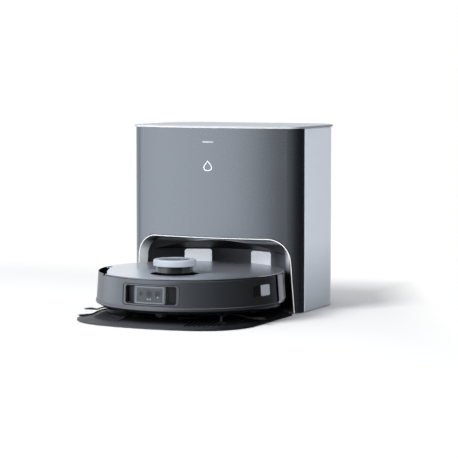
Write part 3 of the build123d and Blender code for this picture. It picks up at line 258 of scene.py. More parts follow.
def brushed(name, colour, rough, metal, stretch, share=0.06):
    # Bare metal with fine lines along one direction
    n = Nodes(name)
    line_scale, line_detail, line_bump, line_depth = 60.0, 4.0, 0.04, 0.0001
    smoother, rougher = 0.05, 0.06
    lines = n.noise(line_scale, line_detail, stretch)
    n.set(Base_Color=n.mix(lines, *around(colour, share)), Metallic=metal)
    n.set(Roughness=n.span(lines, rough - smoother, rough + rougher))
    n.bump(lines, line_bump, line_depth)
    return n


def dress(n, *names):
    for name in names:
        slots = nodes[name].data.materials
        slots.clear()
        slots.append(n.material)


# Station finishes
panel = paint("panel_metal", lin(157, 165, 175), 0.27, 1.0, FLAKES, share=0.04, spread=0.02, bump=0.01)
dress(panel, "front_panel")


def shell_finish():
    # Silver wall with painted shade towards the floor and a painted highlight along the front seam
    n = paint("shell_silver", lin(214, 221, 231), 0.38, metal=0.15, grain=FLAKES, share=0.03)
    painted_shade_low = (0.0, 0.13)
    painted_highlight_seam = (seam_y + 0.0036, seam_y + 0.0024)
    _, y, z = n.axes()
    # painted shade, darker towards the floor
    silver = n.mix(n.step(z, *painted_shade_low), lin(160, 167, 176), n.tint)
    # painted highlight along the front seam
    n.set(Base_Color=n.mix(n.step(y, *painted_highlight_seam), silver, lin(226, 232, 240)))
    return n


def lid_finish():
    # Silver lid with a painted highlight on its front edge
    n = paint("lid_silver", lin(164, 170, 180), 0.34, metal=0.1, grain=FLAKES, share=0.03)
    faces_front = (-0.6, -0.9)
    _, along, _ = n.facing()
    # painted highlight on the front-facing edge
    n.set(Base_Color=n.mix(n.step(along, *faces_front), n.tint, lin(208, 212, 218)))
    return n


dress(shell_finish(), "outer_shell")
dress(lid_finish(), "top_lid", "lid_hinge_rail")

ARCH_HALF = 0.171
ARCH_TOP = 0.145
ARCH_ROUND = 0.045
ARCH_LEAN = math.radians(3.7)


def from_arch_corner(n, x, z):
    # Distance from the middle of the arch's rounded corner, which equals its radius on the outline
    reach = n.math("ADD", n.math("ABSOLUTE", x), n.times(z, math.tan(ARCH_LEAN)))
    inward = n.times(n.math("SUBTRACT", ARCH_HALF, reach), math.cos(ARCH_LEAN))
    beside = n.math("MAXIMUM", n.math("SUBTRACT", ARCH_ROUND, inward), 0.0)
    above = n.math("MAXIMUM", n.math("ADD", z, ARCH_ROUND - ARCH_TOP), 0.0)
    square = n.math("ADD", n.times(beside, beside), n.times(above, above))
    cross = n.times(beside, above, 2 * math.sin(ARCH_LEAN))
    return n.math("DIVIDE", n.math("SQRT", n.math("SUBTRACT", square, cross)), math.cos(ARCH_LEAN))


def trim_finish():
    # Arch trim: a painted highlight line along the front edge, a dark outer band in painted shadow low on
    # the right, and a satin funnel behind it with painted reflection on its roof and painted shade deep
    # inside and low on the right wall
    n = paint("trim_satin", lin(246, 249, 253), 0.34, metal=0.05, grain=FLAKES, share=0.03)
    faces_front, faces_out, faces_left, faces_down = (-0.5, -0.7), (0.0, 0.02), (-0.2, -0.6), (-0.3, -0.8)
    highlight_inner = (ARCH_ROUND - 0.0014, ARCH_ROUND - 0.0018)
    leg_highlight_rise = (ARCH_ROUND - 0.0023, ARCH_ROUND - 0.0019)
    leg_highlight_fall = (ARCH_ROUND - 0.0007, ARCH_ROUND - 0.0011)
    funnel_depth = (ARCH_ROUND - 0.002, ARCH_ROUND - 0.009)
    leg_across, leg_height, foot_height = (0.1, 0.12), (0.115, 0.095), (0.105, 0.07)
    roof_middle, roof_right = (-0.05, 0.02), (0.06, 0.11)
    gloss = 0.5

    x, _, z = n.axes()
    across, along, up = n.facing()
    ahead = n.step(along, *faces_front)
    front = n.math("MAXIMUM", ahead, n.step(n.times(across, x), *faces_out))
    away = from_arch_corner(n, x, z)
    leg = n.times(n.step(x, *leg_across), n.step(z, *leg_height))
    # painted highlight: a white line on the front face, a narrower band of it low on the right
    leg_highlight = n.times(n.band(away, leg_highlight_rise, leg_highlight_fall), ahead)
    highlight_line = n.times(n.step(away, *highlight_inner), n.rest(leg))
    highlight_line = n.math("ADD", highlight_line, n.times(leg_highlight, leg))

    # painted shade deeper inside the funnel
    deep_shade = n.step(away, *funnel_depth)
    roof = n.step(up, *faces_down)
    # painted reflection on the funnel's roof near the rim, brighter to the right
    painted_roof_reflection = n.mix(n.step(x, *roof_middle), lin(104, 108, 115), lin(156, 161, 170))
    painted_roof_reflection = n.mix(n.step(x, *roof_right), painted_roof_reflection, lin(240, 243, 248))
    funnel = n.mix(roof, n.tint, n.mix(deep_shade, painted_roof_reflection, lin(22, 23, 26)))
    # painted shadow low on the right wall
    foot = n.times(n.step(z, *foot_height), n.step(across, *faces_left))
    funnel = n.mix(foot, funnel, lin(12, 13, 15))
    # less gloss where the shade is painted
    dull_in_shade = n.times(n.math("MAXIMUM", roof, foot), deep_shade)
    n.set(Specular_IOR_Level=n.times(n.rest(dull_in_shade), gloss))

    # dark outer band of the front face, in painted shadow low on the right
    dark_band = n.mix(leg, lin(62, 66, 72), lin(14, 15, 17))
    edge = n.mix(highlight_line, dark_band, lin(250, 251, 252))
    n.set(Base_Color=n.mix(front, funnel, edge))
    return n


def bay_finish():
    # Black bay with painted light, paler to the right, and painted shade on the roof; a flange behind the
    # trim in painted shade with a painted light band on its rim, and a polished strip whose colour is a
    # painted highlight
    grain, share = 700.0, 0.15
    n = paint("bay_black", lin(47, 49, 53), 0.55, grain=grain, share=share, spread=0.06)
    n.set(Specular_IOR_Level=0.25)
    left_to_right, right_end, faces_down = (-0.04, 0.08), (0.085, 0.11), (-0.5, -0.8)
    flange_face, flange_right, flange_low = (0.0695, 0.0692), (0.06, 0.16), (0.1, 0.07)
    rim_across, rim_height, rim_top = (0.139, 0.147), (0.075, 0.1), (0.1288, 0.1345)
    rim_middle, rim_right = (0.0, 0.1), (0.13, 0.14)
    strip_height, strip_fade = (0.1305, 0.1315), (-0.03, 0.08)
    strip_start, strip_end = (-0.075, -0.03), (0.13, 0.1)

    x, y, z = n.axes()
    _, _, up = n.facing()
    # painted light: the wall paler towards the right, darker again at the right end; painted shade on the
    # roof
    painted_light_right = n.speckle(grain, lin(136, 139, 147), share)
    roof = n.speckle(grain, lin(17, 18, 20), share)
    wall = n.mix(n.step(x, *left_to_right), n.tint, painted_light_right)
    wall = n.mix(n.step(x, *right_end), wall, lin(78, 81, 87))
    wall = n.mix(n.step(up, *faces_down), wall, roof)

    flange = n.step(y, *flange_face)
    # painted shade on the flange, deepest at the left and low down
    painted_flange_shade = n.mix(n.step(x, *flange_right), lin(28, 30, 34), lin(66, 69, 74))
    painted_flange_shade = n.mix(n.step(z, *flange_low), painted_flange_shade, lin(16, 17, 19))
    # painted light band along the flange's top and right rim
    painted_light_rim = n.times(n.step(x, *rim_across), n.step(z, *rim_height))
    painted_light_rim = n.math("MAXIMUM", painted_light_rim, n.step(z, *rim_top))
    painted_light_pale = n.mix(n.step(x, *rim_middle), lin(104, 108, 115), lin(226, 231, 238))
    painted_light_pale = n.mix(n.step(x, *rim_right), painted_light_pale, lin(186, 191, 199))
    moulding = n.mix(flange, wall, n.mix(painted_light_rim, painted_flange_shade, painted_light_pale))

    # a polished metal strip, its colour a painted highlight that is paler to the left
    strip = n.times(n.step(z, *strip_height), flange, n.band(x, strip_start, strip_end))
    polish_and_painted_light = n.mix(n.step(x, *strip_fade), lin(212, 217, 226), lin(150, 155, 164))
    n.set(Base_Color=n.mix(strip, moulding, polish_and_painted_light), Metallic=strip)
    return n


dress(trim_finish(), "arch_trim")
dress(bay_finish(), "bay_liner")
inlet = paint("inlet_black", lin(26, 26, 28), 0.4, grain=700.0, share=0.15)
dress(inlet, "power_inlet", "station_base")
feet = paint("foot_rubber", lin(30, 30, 31), 0.75, grain=300.0, share=0.2, bump=0.2)
dress(feet, "rubber_feet")


def reflector_finish():
    # White reflector foil: small cells with raised faces and a regular grid of bright dots, all glowing as
    # painted light
    n = Nodes("reflector_cells")
    cells_per_metre, wall_width, dot_pitch = 400.0, 0.12, 0.0046
    gloss_scale, smoothest, roughest = 600.0, 0.25, 0.4
    face_bump, face_rise = 0.4, 0.0004
    glow, face_glow, dot_glow = 0.4, 0.2, 0.1
    face = n.step(n.from_cell_wall(cells_per_metre), 0.0, wall_width)
    n.set(Base_Color=n.mix(face, lin(176, 184, 194), lin(236, 240, 245)))
    n.set(Roughness=n.span(n.noise(gloss_scale), smoothest, roughest))
    n.bump(face, face_bump, face_rise)
    x, _, z = n.axes()
    # painted glow, stronger on the cell faces and in a grid of dots
    waves = [n.math("SINE", n.times(v, 2 * math.pi / dot_pitch)) for v in (x, z)]
    painted_glow = n.math("ADD", n.times(face, face_glow), glow)
    painted_glow = n.math("ADD", painted_glow, n.times(*waves, dot_glow))
    n.set(Emission_Color=lin(225, 230, 238), Emission_Strength=painted_glow)
    return n


def tray_finish():
    # Dark grained tray with painted light low down at the left, and painted highlights on the ribs of the
    # ramp, dimmer to the right
    grain, share = 1100.0, 0.1
    n = paint("tray_grain", lin(15, 16, 18), 0.55, grain=grain, share=share, spread=0.07, bump=0.15)
    n.set(Specular_IOR_Level=0.2)
    ramp_foot, ramp_slope, plate_rise = 0.188, 7.0 / 42.0, 0.003
    rib_rise, rib_start = (0.0006, 0.0012), (0.1475, 0.149)
    right_to_left, high_to_low, rib_left = (0.175, 0.02), (0.0068, 0.003), (0.0, -0.08)

    _, _, z = n.axes()
    x, along = n.from_robot()
    radius = n.hypot(x, along)
    ramp = n.math("MAXIMUM", n.times(n.math("SUBTRACT", ramp_foot, radius), ramp_slope), 0.0)
    proud = n.math("SUBTRACT", z, n.math("ADD", ramp, plate_rise))
    ribs = n.times(n.step(proud, *rib_rise), n.step(radius, *rib_start))
    # painted light on the low part at the left
    painted_light_pale = n.speckle(grain, lin(74, 77, 83), share)
    painted_light_left = n.times(n.step(x, *right_to_left), n.step(z, *high_to_low))
    # painted highlight on the ribs, dimmer to the right
    painted_rib_highlight = n.mix(n.step(x, *rib_left), lin(26, 28, 31), lin(92, 96, 103))
    n.set(Base_Color=n.mix(ribs, n.mix(painted_light_left, n.tint, painted_light_pale), painted_rib_highlight))
    return n


dress(reflector_finish(), "dock_reflectors")
dress(tray_finish(), "ramp_tray")
light = paint("light_guide", lin(190, 195, 202), 0.35, grain=500.0, share=0.02)
light.set(Emission_Color=lin(240, 246, 255), Emission_Strength=0.04)
dress(light, "status_light")

contact = brushed("contact_metal", lin(206, 182, 132), 0.25, 1.0, (1.0, 1.0, 8.0))
dress(contact, "dock_contacts", "charge_contacts")
clear = paint("tank_clear", lin(206, 216, 224), 0.12, grain=300.0, share=0.03)
clear.set(Transmission_Weight=0.75, IOR=CLEAR_IOR)
dress(clear, "clean_water_tank")
smoke = paint("tank_smoke", lin(84, 90, 96), 0.14, grain=300.0, share=0.05)
smoke.set(Transmission_Weight=0.55, IOR=CLEAR_IOR)
dress(smoke, "waste_water_tank", "dust_bin")
inner = paint("inner_moulding", lin(92, 96, 101), 0.5, grain=800.0, share=0.08, bump=0.1)
dress(inner, "tank_deck", "tank_lids", "power_supply", "dryer_housing", "dryer_impeller")
pump = brushed("pump_can", lin(150, 153, 158), 0.32, 0.9, (1.0, 12.0, 1.0))
dress(pump, "water_pumps")


# Robot finishes
def cover_finish():
    # Satin metal plate with a slight crown, painted shade to the right and on the front right corner, and a
    # bevel with painted shade darkening to the right and a painted glint at the far right
    metal = 0.8
    n = paint("cover_metal", lin(210, 217, 228), 0.29, metal, FLAKES, share=0.02, spread=0.012, bump=0.0)
    crown_length, crown_bow, crown_slope = 0.06, -0.7, -0.084
    right_part, corner_across, corner_ahead = (0.08, 0.15), (0.06, 0.14), (0.02, 0.09)
    bevel_faces, bevel_middle, bevel_right = (0.98, 0.9), (-0.01, 0.035), (0.09, 0.13)
    glint_across, glint_faces = (0.164, 0.168), (0.5, 0.65)

    x, along = n.from_robot()
    _, _, up = n.facing()
    ahead = n.math("MAXIMUM", n.times(along, -1.0), 0.0)
    curved = n.math("MINIMUM", ahead, crown_length)
    crown = n.times(curved, curved, crown_bow)
    slope = n.times(n.math("SUBTRACT", ahead, curved), crown_slope)
    n.bump(n.math("ADD", crown, slope), 1.0, 1.0)

    # painted shade on the right part and the front right corner
    plate = n.mix(n.step(x, *right_part), n.tint, lin(182, 188, 198))
    corner = n.times(n.step(x, *corner_across), n.step(ahead, *corner_ahead))
    plate = n.mix(corner, plate, lin(140, 145, 154))
    # painted shade on the bevel, darker to the right
    bevel_painted_light = n.mix(n.step(x, *bevel_middle), lin(146, 151, 160), lin(108, 112, 119))
    bevel_painted_light = n.mix(n.step(x, *bevel_right), bevel_painted_light, lin(78, 81, 86))
    # painted glint on the bevel at the far right, without metal
    painted_glint = n.times(n.step(x, *glint_across), n.step(up, *glint_faces))
    bevel_painted_light = n.mix(painted_glint, bevel_painted_light, lin(204, 208, 214))
    edge = n.step(up, *bevel_faces)
    n.set(Base_Color=n.mix(edge, plate, bevel_painted_light))
    n.set(Metallic=n.times(n.rest(n.times(edge, painted_glint)), metal))
    return n


def wall_finish(name, colour, rough, metal, inside):
    # Metallic paint on the robot's outer wall, and black inside that radius and on the top faces
    n = Nodes(name)
    share, black_rough, gloss = 0.05, 0.65, 0.5
    wall_radius, faces_side = (inside, inside + 0.0006), (0.9, 0.7)
    flakes = n.noise(FLAKES, FINE_DETAIL)
    _, _, up = n.facing()
    outer = n.times(n.step(n.hypot(*n.from_robot()), *wall_radius), n.step(up, *faces_side))
    tint = n.mix(flakes, *around(colour, share))
    n.set(Base_Color=n.mix(outer, lin(9, 9, 10), tint), Metallic=n.times(outer, metal))
    n.set(Specular_IOR_Level=n.times(outer, gloss))
    n.set(Roughness=n.math("SUBTRACT", black_rough, n.times(outer, black_rough - rough)))
    n.bump(flakes, GRAIN_BUMP, GRAIN_DEPTH)
    return n


dress(cover_finish(), "top_cover")
dress(wall_finish("bumper_metal", lin(128, 134, 142), 0.4, 0.97, 0.1745), "bumper")
dress(wall_finish("rear_wall", lin(176, 182, 192), 0.22, 1.0, 0.1725), "upper_shell")


def bezel_finish():
    # Satin frame with a painted shadow in the gap along its rounded outline
    n = paint("bezel_satin", lin(116, 121, 128), 0.38, metal=0.7, grain=FLAKES)
    corner, dark_band = 0.006, (0.0008, 0.0013)
    low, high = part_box("bumper_bezel")
    half = [(b - a) / 2 - corner for a, b in zip(low, high)]
    x, _, z = n.axes()
    rise = n.math("ABSOLUTE", n.math("SUBTRACT", z, (low[2] + high[2]) / 2))
    over_x = n.math("MAXIMUM", n.math("SUBTRACT", n.math("ABSOLUTE", x), half[0]), 0.0)
    over_z = n.math("MAXIMUM", n.math("SUBTRACT", rise, half[2]), 0.0)
    inset = n.math("SUBTRACT", corner, n.hypot(over_x, over_z))
    # painted shadow in the gap along the outline
    n.set(Base_Color=n.mix(n.step(inset, *dark_band), lin(24, 25, 28), n.tint))
    return n


glass_low, glass_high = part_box("camera_glass")
glass_level = (glass_low[2] + glass_high[2]) / 2
glass_half_height = (glass_high[2] - glass_low[2]) / 2


def camera_finish():
    # Grey camera body: a painted highlight line round the glass and painted shade in the pockets at both
    # ends
    n = paint("camera_housing", lin(98, 103, 110), 0.36, metal=0.4, share=0.08)
    highlight_rise, highlight_fall, pocket_shade = (0.0014, 0.0020), (0.0036, 0.0030), (0.0064, 0.0072)
    x, _, z = n.axes()
    over_x = n.math("SUBTRACT", n.math("ABSOLUTE", x), glass_high[0])
    rise = n.math("ABSOLUTE", n.math("SUBTRACT", z, glass_level))
    over = n.math("MAXIMUM", over_x, n.math("SUBTRACT", rise, glass_half_height))
    # painted highlight line round the glass
    grey = n.mix(n.band(over, highlight_rise, highlight_fall), n.tint, lin(134, 140, 148))
    # painted shade in the pockets at both ends
    n.set(Base_Color=n.mix(n.step(over_x, *pocket_shade), grey, lin(38, 40, 44)))
    return n


def glass_finish():
    # Grey glass with three lens openings and three small lights, placed from the glass's middle
    n = paint("camera_glass", lin(86, 91, 98), 0.12, grain=400.0, spread=0.03)
    n.set(Transmission_Weight=0.3, IOR=CLEAR_IOR)
    lens_up, lens_soft = 0.002, 0.003
    lens_places = ((-0.017, 0.0025), (0.0, 0.0045), (0.017, 0.004))
    lamp_size, lamp_soft = 0.0009, 0.0012
    lamp_places = ((-0.0024, -0.0075), (0.0026, -0.0075), (0.0175, -0.0035))
    x, _, z = n.axes()

    def patch(across, up, size, soft):
        # Round patch: one inside and zero outside
        u = n.math("SUBTRACT", x, across)
        v = n.math("SUBTRACT", z, glass_level + up)
        return n.step(n.hypot(u, v), size + soft, size)

    face = n.tint
    for across, size in lens_places:
        face = n.mix(patch(across, lens_up, size, lens_soft), face, lin(62, 65, 71))
    for across, up in lamp_places:
        face = n.mix(patch(across, up, lamp_size, lamp_soft), face, lin(168, 172, 180))
    n.set(Base_Color=face)
    return n


def ring_finish():
    # Black scanner window with four grey posts, evenly round the turret
    n = paint("turret_ring", lin(20, 20, 22), 0.12, grain=400.0, share=0.1, spread=0.03, coat=1.0)
    posts, first_post, post_edge = 4.0, math.radians(-19), (-0.05, 0.1)
    middle = centre("turret_window")
    x, y, _ = n.axes()
    x = n.math("SUBTRACT", x, middle[0])
    y = n.math("SUBTRACT", y, middle[1])
    turn = n.math("ARCTAN2", x, n.times(y, -1.0))
    wave = n.math("COSINE", n.times(n.math("SUBTRACT", turn, first_post), posts))
    n.set(Base_Color=n.mix(n.step(wave, *post_edge), n.tint, lin(74, 76, 80)))
    return n


dress(bezel_finish(), "bumper_bezel")
black = paint("chassis_black", lin(24, 24, 26), 0.45, share=0.2, bump=0.15)
dress(black, "chassis", "battery_pack", "caster_fork", "lidar_rotor")
dress(camera_finish(), "camera_housing")
dress(glass_finish(), "camera_glass")
lens = paint("lens_coating", lin(26, 30, 44), 0.06, grain=400.0, share=0.1, spread=0.03, coat=1.0)
dress(lens, "camera_lenses")
window = paint("window_black", lin(20, 20, 22), 0.12, grain=400.0, share=0.1, spread=0.03, coat=1.0)
window.set(Specular_IOR_Level=0.8)
dress(window, "side_sensor_window")
dress(ring_finish(), "turret_window")
sensor = paint("sensor_frost", lin(172, 178, 186), 0.3, grain=700.0, share=0.04)
dress(sensor, "side_sensor_lens")
cap = paint("cap_satin", lin(176, 184, 195), 0.34, metal=0.1, grain=FLAKES, share=0.03)
dress(cap, "turret_cap")
button = paint("button_gloss", lin(204, 211, 220), 0.24, metal=0.95, share=0.03, spread=0.03)
dress(button, "power_button")
paper = paint("filter_paper", lin(224, 222, 212), 0.85, grain=260.0, share=0.06, bump=0.4)
dress(paper, "dust_filter")
board = paint("board_lacquer", lin(38, 92, 66), 0.35, grain=260.0, share=0.2)
dress(board, "main_board")
dress(inner, "dust_bin_lid", "fan_housing", "fan_impeller", "gear_motors", "brush_guard", "caster_wheel")
rubber = paint("blade_rubber", lin(60, 62, 66), 0.6, grain=500.0, share=0.12, bump=0.15)
dress(rubber, "main_brush")
tyre = paint("tyre_rubber", lin(32, 32, 33), 0.8, grain=420.0, share=0.2, bump=0.35)
for side in SIDES:
    dress(tyre, f"wheel_tyre_{side}")
    dress(inner, f"suspension_arm_{side}", f"wheel_hub_{side}", f"mop_plate_{side}")


# Pieces made here
def piece(name, mesh, body, finish):
    obj = bpy.data.objects.new(name, mesh)
    bpy.context.collection.objects.link(obj)
    mesh.materials.append(finish.material)
    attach(obj, body)
    return obj


def mesh_from(name, verts, faces, smooth=True):
    mesh = bpy.data.meshes.new(name)
    mesh.from_pydata([tuple(v) for v in verts], [], faces)
    mesh.update()
    for polygon in mesh.polygons:
        polygon.use_smooth = smooth
    return mesh


class Form:
    # Collects tubes and lathe forms into one mesh
    def __init__(self):
        self.verts = []
        self.faces = []

    def loop(self, ring):
        start = len(self.verts)
        self.verts += ring
        return list(range(start, start + len(ring)))

    def skin(self, a, b):
        n = len(a)
        for i in range(n):
            j = (i + 1) % n
            self.faces.append((a[i], a[j], b[j], b[i]))

    def close(self, ring, flip=False):
        self.faces.append(tuple(reversed(ring)) if flip else tuple(ring))

    def wrap(self, rings):
        for a, b in zip(rings, rings[1:]):
            self.skin(a, b)
        self.close(rings[0], True)
        self.close(rings[-1])

    def tube(self, points, widths, heights, sides):
        rings = []
        for k, p in enumerate(points):
            ahead = points[min(k + 1, len(points) - 1)] - points[max(k - 1, 0)]
            ahead.normalize()
            flat = ahead.cross(UP)
            flat.normalize()
            rise = flat.cross(ahead)
            ring = []
            for s in range(sides):
                turn = 2 * math.pi * (s + 0.5) / sides
                ring.append(p + flat * (widths[k] * math.cos(turn)) + rise * (heights[k] * math.sin(turn)))
            rings.append(self.loop(ring))
        self.wrap(rings)

    def lathe(self, middle, profile, sides):
        rings = []
        for r, h in profile:
            ring = []
            for s in range(sides):
                turn = 2 * math.pi * s / sides
                ring.append(middle + Vector((r * math.cos(turn), r * math.sin(turn), h)))
            rings.append(self.loop(ring))
        self.wrap(rings)


# Side brushes, in millimetres: radius and height of the hub, its pin and the arms' curve
BRUSH_TURN = -67.0
BRUSH_ARMS = 4
HUB_PROFILE = [(8.6, 6.6), (10.6, 7.6), (10.9, 9.5), (9.8, 11.3)]
PIN_PROFILE = [(2.9, 11.2), (2.9, 20)]
ARM_CURVE = [(8, 9.45), (44, 9.45), (42, 2.35), (56, 2.35)]
ARM_STEPS = 15
ARM_WIDTH = 2.6
ARM_TAPER = 0.5
ARM_HEIGHT = 1.4
STRANDS_ACROSS = 10
STRANDS_HIGH = 6
STRAND_STEPS = 6
STRAND_ROOT = 55
STRAND_REACH = 79.0
STRAND_UNEVEN = (-3.0, 1.6)
STRAND_RADIUS = 0.2
STRAND_TAPER = 0.5
TUFT_LEVEL = 2.35
TUFT_SINK = 0.7
TUFT_HALF_WIDTH = 1.8
TUFT_FAN = 7.4
TUFT_FLARE = 1.25
TUFT_HALF_HEIGHT = 1.05
TUFT_SWELL = 0.3
HUB_SIDES = 40
PIN_SIDES = 20
ARM_SIDES = 10
STRAND_SIDES = 4
strand_steps = [k / (STRAND_STEPS - 1) for k in range(STRAND_STEPS)]
strand_widths = [STRAND_RADIUS * MM * (1 - STRAND_TAPER * t) for t in strand_steps]
strand_heights = [STRAND_RADIUS * MM] * STRAND_STEPS
bristle = paint("bristle_nylon", lin(30, 31, 33), 0.5, share=0.25, bump=0.05)
arm_grey = paint("brush_arm_grey", lin(34, 35, 38), 0.6, share=0.1)
arm_grey.set(Specular_IOR_Level=0.1)


def arm_point(t):
    # Arm of the side brush in reach and height: level at the hub, then down to the tuft
    weights = ((1 - t) ** 3, 3 * t * (1 - t) ** 2, 3 * t * t * (1 - t), t ** 3)
    return [sum(w * point[axis] for w, point in zip(weights, ARM_CURVE)) for axis in (0, 1)]


def strand_points(hub, out, over, u, v, reach):
    # One strand of the tuft, which fans out and sinks a little; u and v are its place in the tuft
    points = []
    for t in strand_steps:
        r = STRAND_ROOT + (reach - STRAND_ROOT) * t
        wide = u * (TUFT_HALF_WIDTH + TUFT_FAN * t ** TUFT_FLARE)
        high = TUFT_LEVEL + v * (TUFT_HALF_HEIGHT + TUFT_SWELL * t) - TUFT_SINK * t
        points.append(hub + out * (r * MM) + over * (wide * MM) + UP * (high * MM))
    return points


for side in SIDES:
    node = f"side_brush_{side}"
    sign = 1 if side == "right" else -1
    place = centre(node)
    hub = Vector((place[0], place[1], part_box(f"wheel_tyre_{side}")[0][2]))
    form = Form()
    form.lathe(hub, [(r * MM, h * MM) for r, h in HUB_PROFILE], HUB_SIDES)
    form.lathe(hub, [(r * MM, h * MM) for r, h in PIN_PROFILE], PIN_SIDES)
    arm_faces = []
    for arm in range(BRUSH_ARMS):
        turn = math.radians(BRUSH_TURN + arm * 360 / BRUSH_ARMS)
        out = Vector((sign * math.cos(turn), math.sin(turn), 0))
        over = Vector((-out.y, out.x, 0))
        path, widths = [], []
        for k in range(ARM_STEPS):
            t = k / (ARM_STEPS - 1)
            r, h = arm_point(t)
            path.append(hub + out * (r * MM) + UP * (h * MM))
            widths.append((ARM_WIDTH - ARM_TAPER * t) * MM)
        first = len(form.faces)
        form.tube(path, widths, [ARM_HEIGHT * MM] * ARM_STEPS, ARM_SIDES)
        arm_faces += range(first, len(form.faces))
        for i in range(STRANDS_ACROSS):
            for j in range(STRANDS_HIGH):
                u = 2 * i / (STRANDS_ACROSS - 1) - 1
                v = 2 * j / (STRANDS_HIGH - 1) - 1
                reach = STRAND_REACH + rng.uniform(*STRAND_UNEVEN)
                strand = strand_points(hub, out, over, u, v, reach)
                form.tube(strand, strand_widths, strand_heights, STRAND_SIDES)
    mesh = mesh_from(f"bristles_{side}", form.verts, form.faces)
    brush = piece(f"bristles_{side}", mesh, f"side_brush_{side}", bristle)
    mesh.materials.append(arm_grey.material)
    for index in arm_faces:
        mesh.polygons[index].material_index = 1
    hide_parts(node)

# Mop cloths, in millimetres: a disc with pile below, a soft rim and a fringe of short tufts
PAD_RADIUS = 62.5
PAD_SIDES = 144
PILE_TOP = 4.5
PILE_LIFT = 0.55
PILE_WAVES = ((0.34, 0.5), (0.9, 0.35))
FACE_START = 6
FACE_WIDTH = 56
FACE_STEPS = 20
PAD_FACE = [(FACE_START + FACE_WIDTH * k / FACE_STEPS, 0.0) for k in range(FACE_STEPS + 1)]
PAD_RIM = [(0.0, 0.35), (0.9, 1.6), (0.6, 3.2), (-1.6, 4.5)]
PAD_BACK = [(57.0, 4.8), (20.0, 4.8)]
FRINGE_COUNT = 220
FRINGE_SIDES = 5
FRINGE_UNEVEN = (-0.3, 0.3)
FRINGE_ROOT = PAD_RADIUS - 0.6
FRINGE_STEP = 0.66
FRINGE_LEVEL = 2.4
FRINGE_DROOP = 0.22
FRINGE_WIDTH = 0.55
FRINGE_HEIGHTS = (0.75, 0.75, 0.6, 0.3)
pad_profile = PAD_FACE + [(PAD_RADIUS + r, h) for r, h in PAD_RIM] + PAD_BACK
cloth = paint("mop_cloth", lin(126, 138, 156), 0.95, grain=700.0, share=0.25, bump=0.6)
cloth.set(Sheen_Weight=0.4)
for side in SIDES:
    node = f"mop_pad_{side}"
    low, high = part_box(node)
    middle = Vector(((low[0] + high[0]) / 2, (low[1] + high[1]) / 2, 0))
    form = Form()
    rings = []
    for r, h in pad_profile:
        ring = []
        for s in range(PAD_SIDES):
            turn = 2 * math.pi * s / PAD_SIDES
            point = Vector((r * math.cos(turn), r * math.sin(turn), h))
            pile = sum(noise.noise(point * scale) * share for scale, share in PILE_WAVES)
            lift = PILE_LIFT * abs(pile) if h < PILE_TOP else 0.0
            ring.append(middle + Vector((point.x, point.y, 0)) * MM + UP * (low[2] + (h + lift) * MM))
        rings.append(form.loop(ring))
    for a, b in zip(rings, rings[1:]):
        form.skin(b, a)
    form.close(rings[0])
    form.close(rings[-1], True)
    for s in range(FRINGE_COUNT):
        turn = 2 * math.pi * (s + rng.uniform(*FRINGE_UNEVEN)) / FRINGE_COUNT
        out = Vector((math.cos(turn), math.sin(turn), 0))
        path = []
        for k in range(len(FRINGE_HEIGHTS)):
            r = FRINGE_ROOT + k * FRINGE_STEP
            h = FRINGE_LEVEL - FRINGE_DROOP * k * k
            path.append(middle + out * (r * MM) + UP * (low[2] + h * MM))
        form.tube(path, [FRINGE_WIDTH * MM] * len(path), [h * MM for h in FRINGE_HEIGHTS], FRINGE_SIDES)
    mesh = mesh_from(f"mop_cloth_{side}", form.verts, form.faces)
    pad = piece(f"mop_cloth_{side}", mesh, f"mop_{side}", cloth)
    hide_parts(node)

# Touch key on the front panel: a plain drop outline, laid on the bowed face
panel_low, panel_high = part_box("front_panel")
PANEL_BOW = 0.530
KEY_PROUD = 0.00015
KEY_DOWN = 0.072
KEY_OUTER = 0.0205
KEY_INNER = 0.0160
KEY_WIDTH = 0.62
KEY_POINTED = 1.4
KEY_SHIFT = 0.12
KEY_POINTS = 72


def on_panel(x, z):
    y = panel_low[1] + PANEL_BOW - math.sqrt(PANEL_BOW * PANEL_BOW - x * x)
    return Vector((x, y - KEY_PROUD, z))


def drop(t, size):
    # Outline of a drop: round below, pointed above
    turn = 2 * math.pi * t
    wide = math.sin(turn) * math.sin(turn / 2) ** KEY_POINTED
    return size * KEY_WIDTH * wide, size * math.cos(turn) / 2


ink = paint("key_white", lin(238, 242, 247), 0.4, grain=600.0, share=0.02)
key_z = panel_high[2] - KEY_DOWN
verts, faces = [], []
for k in range(KEY_POINTS):
    for size in (KEY_OUTER, KEY_INNER):
        u, v = drop(k / KEY_POINTS, size)
        verts.append(on_panel(u, key_z + v - (KEY_OUTER - size) * KEY_SHIFT))
for k in range(KEY_POINTS):
    a, b = 2 * k, 2 * ((k + 1) % KEY_POINTS)
    faces.append((a, a + 1, b + 1, b))
mark = mesh_from("touch_key", verts, faces, False)
outline = bmesh.new()
outline.from_mesh(mark)
bmesh.ops.recalc_face_normals(outline, faces=outline.faces)
if outline.faces[0].normal.y > 0:
    bmesh.ops.reverse_faces(outline, faces=outline.faces)
outline.to_mesh(mark)
outline.free()
piece("touch_key", mark, "station", ink)

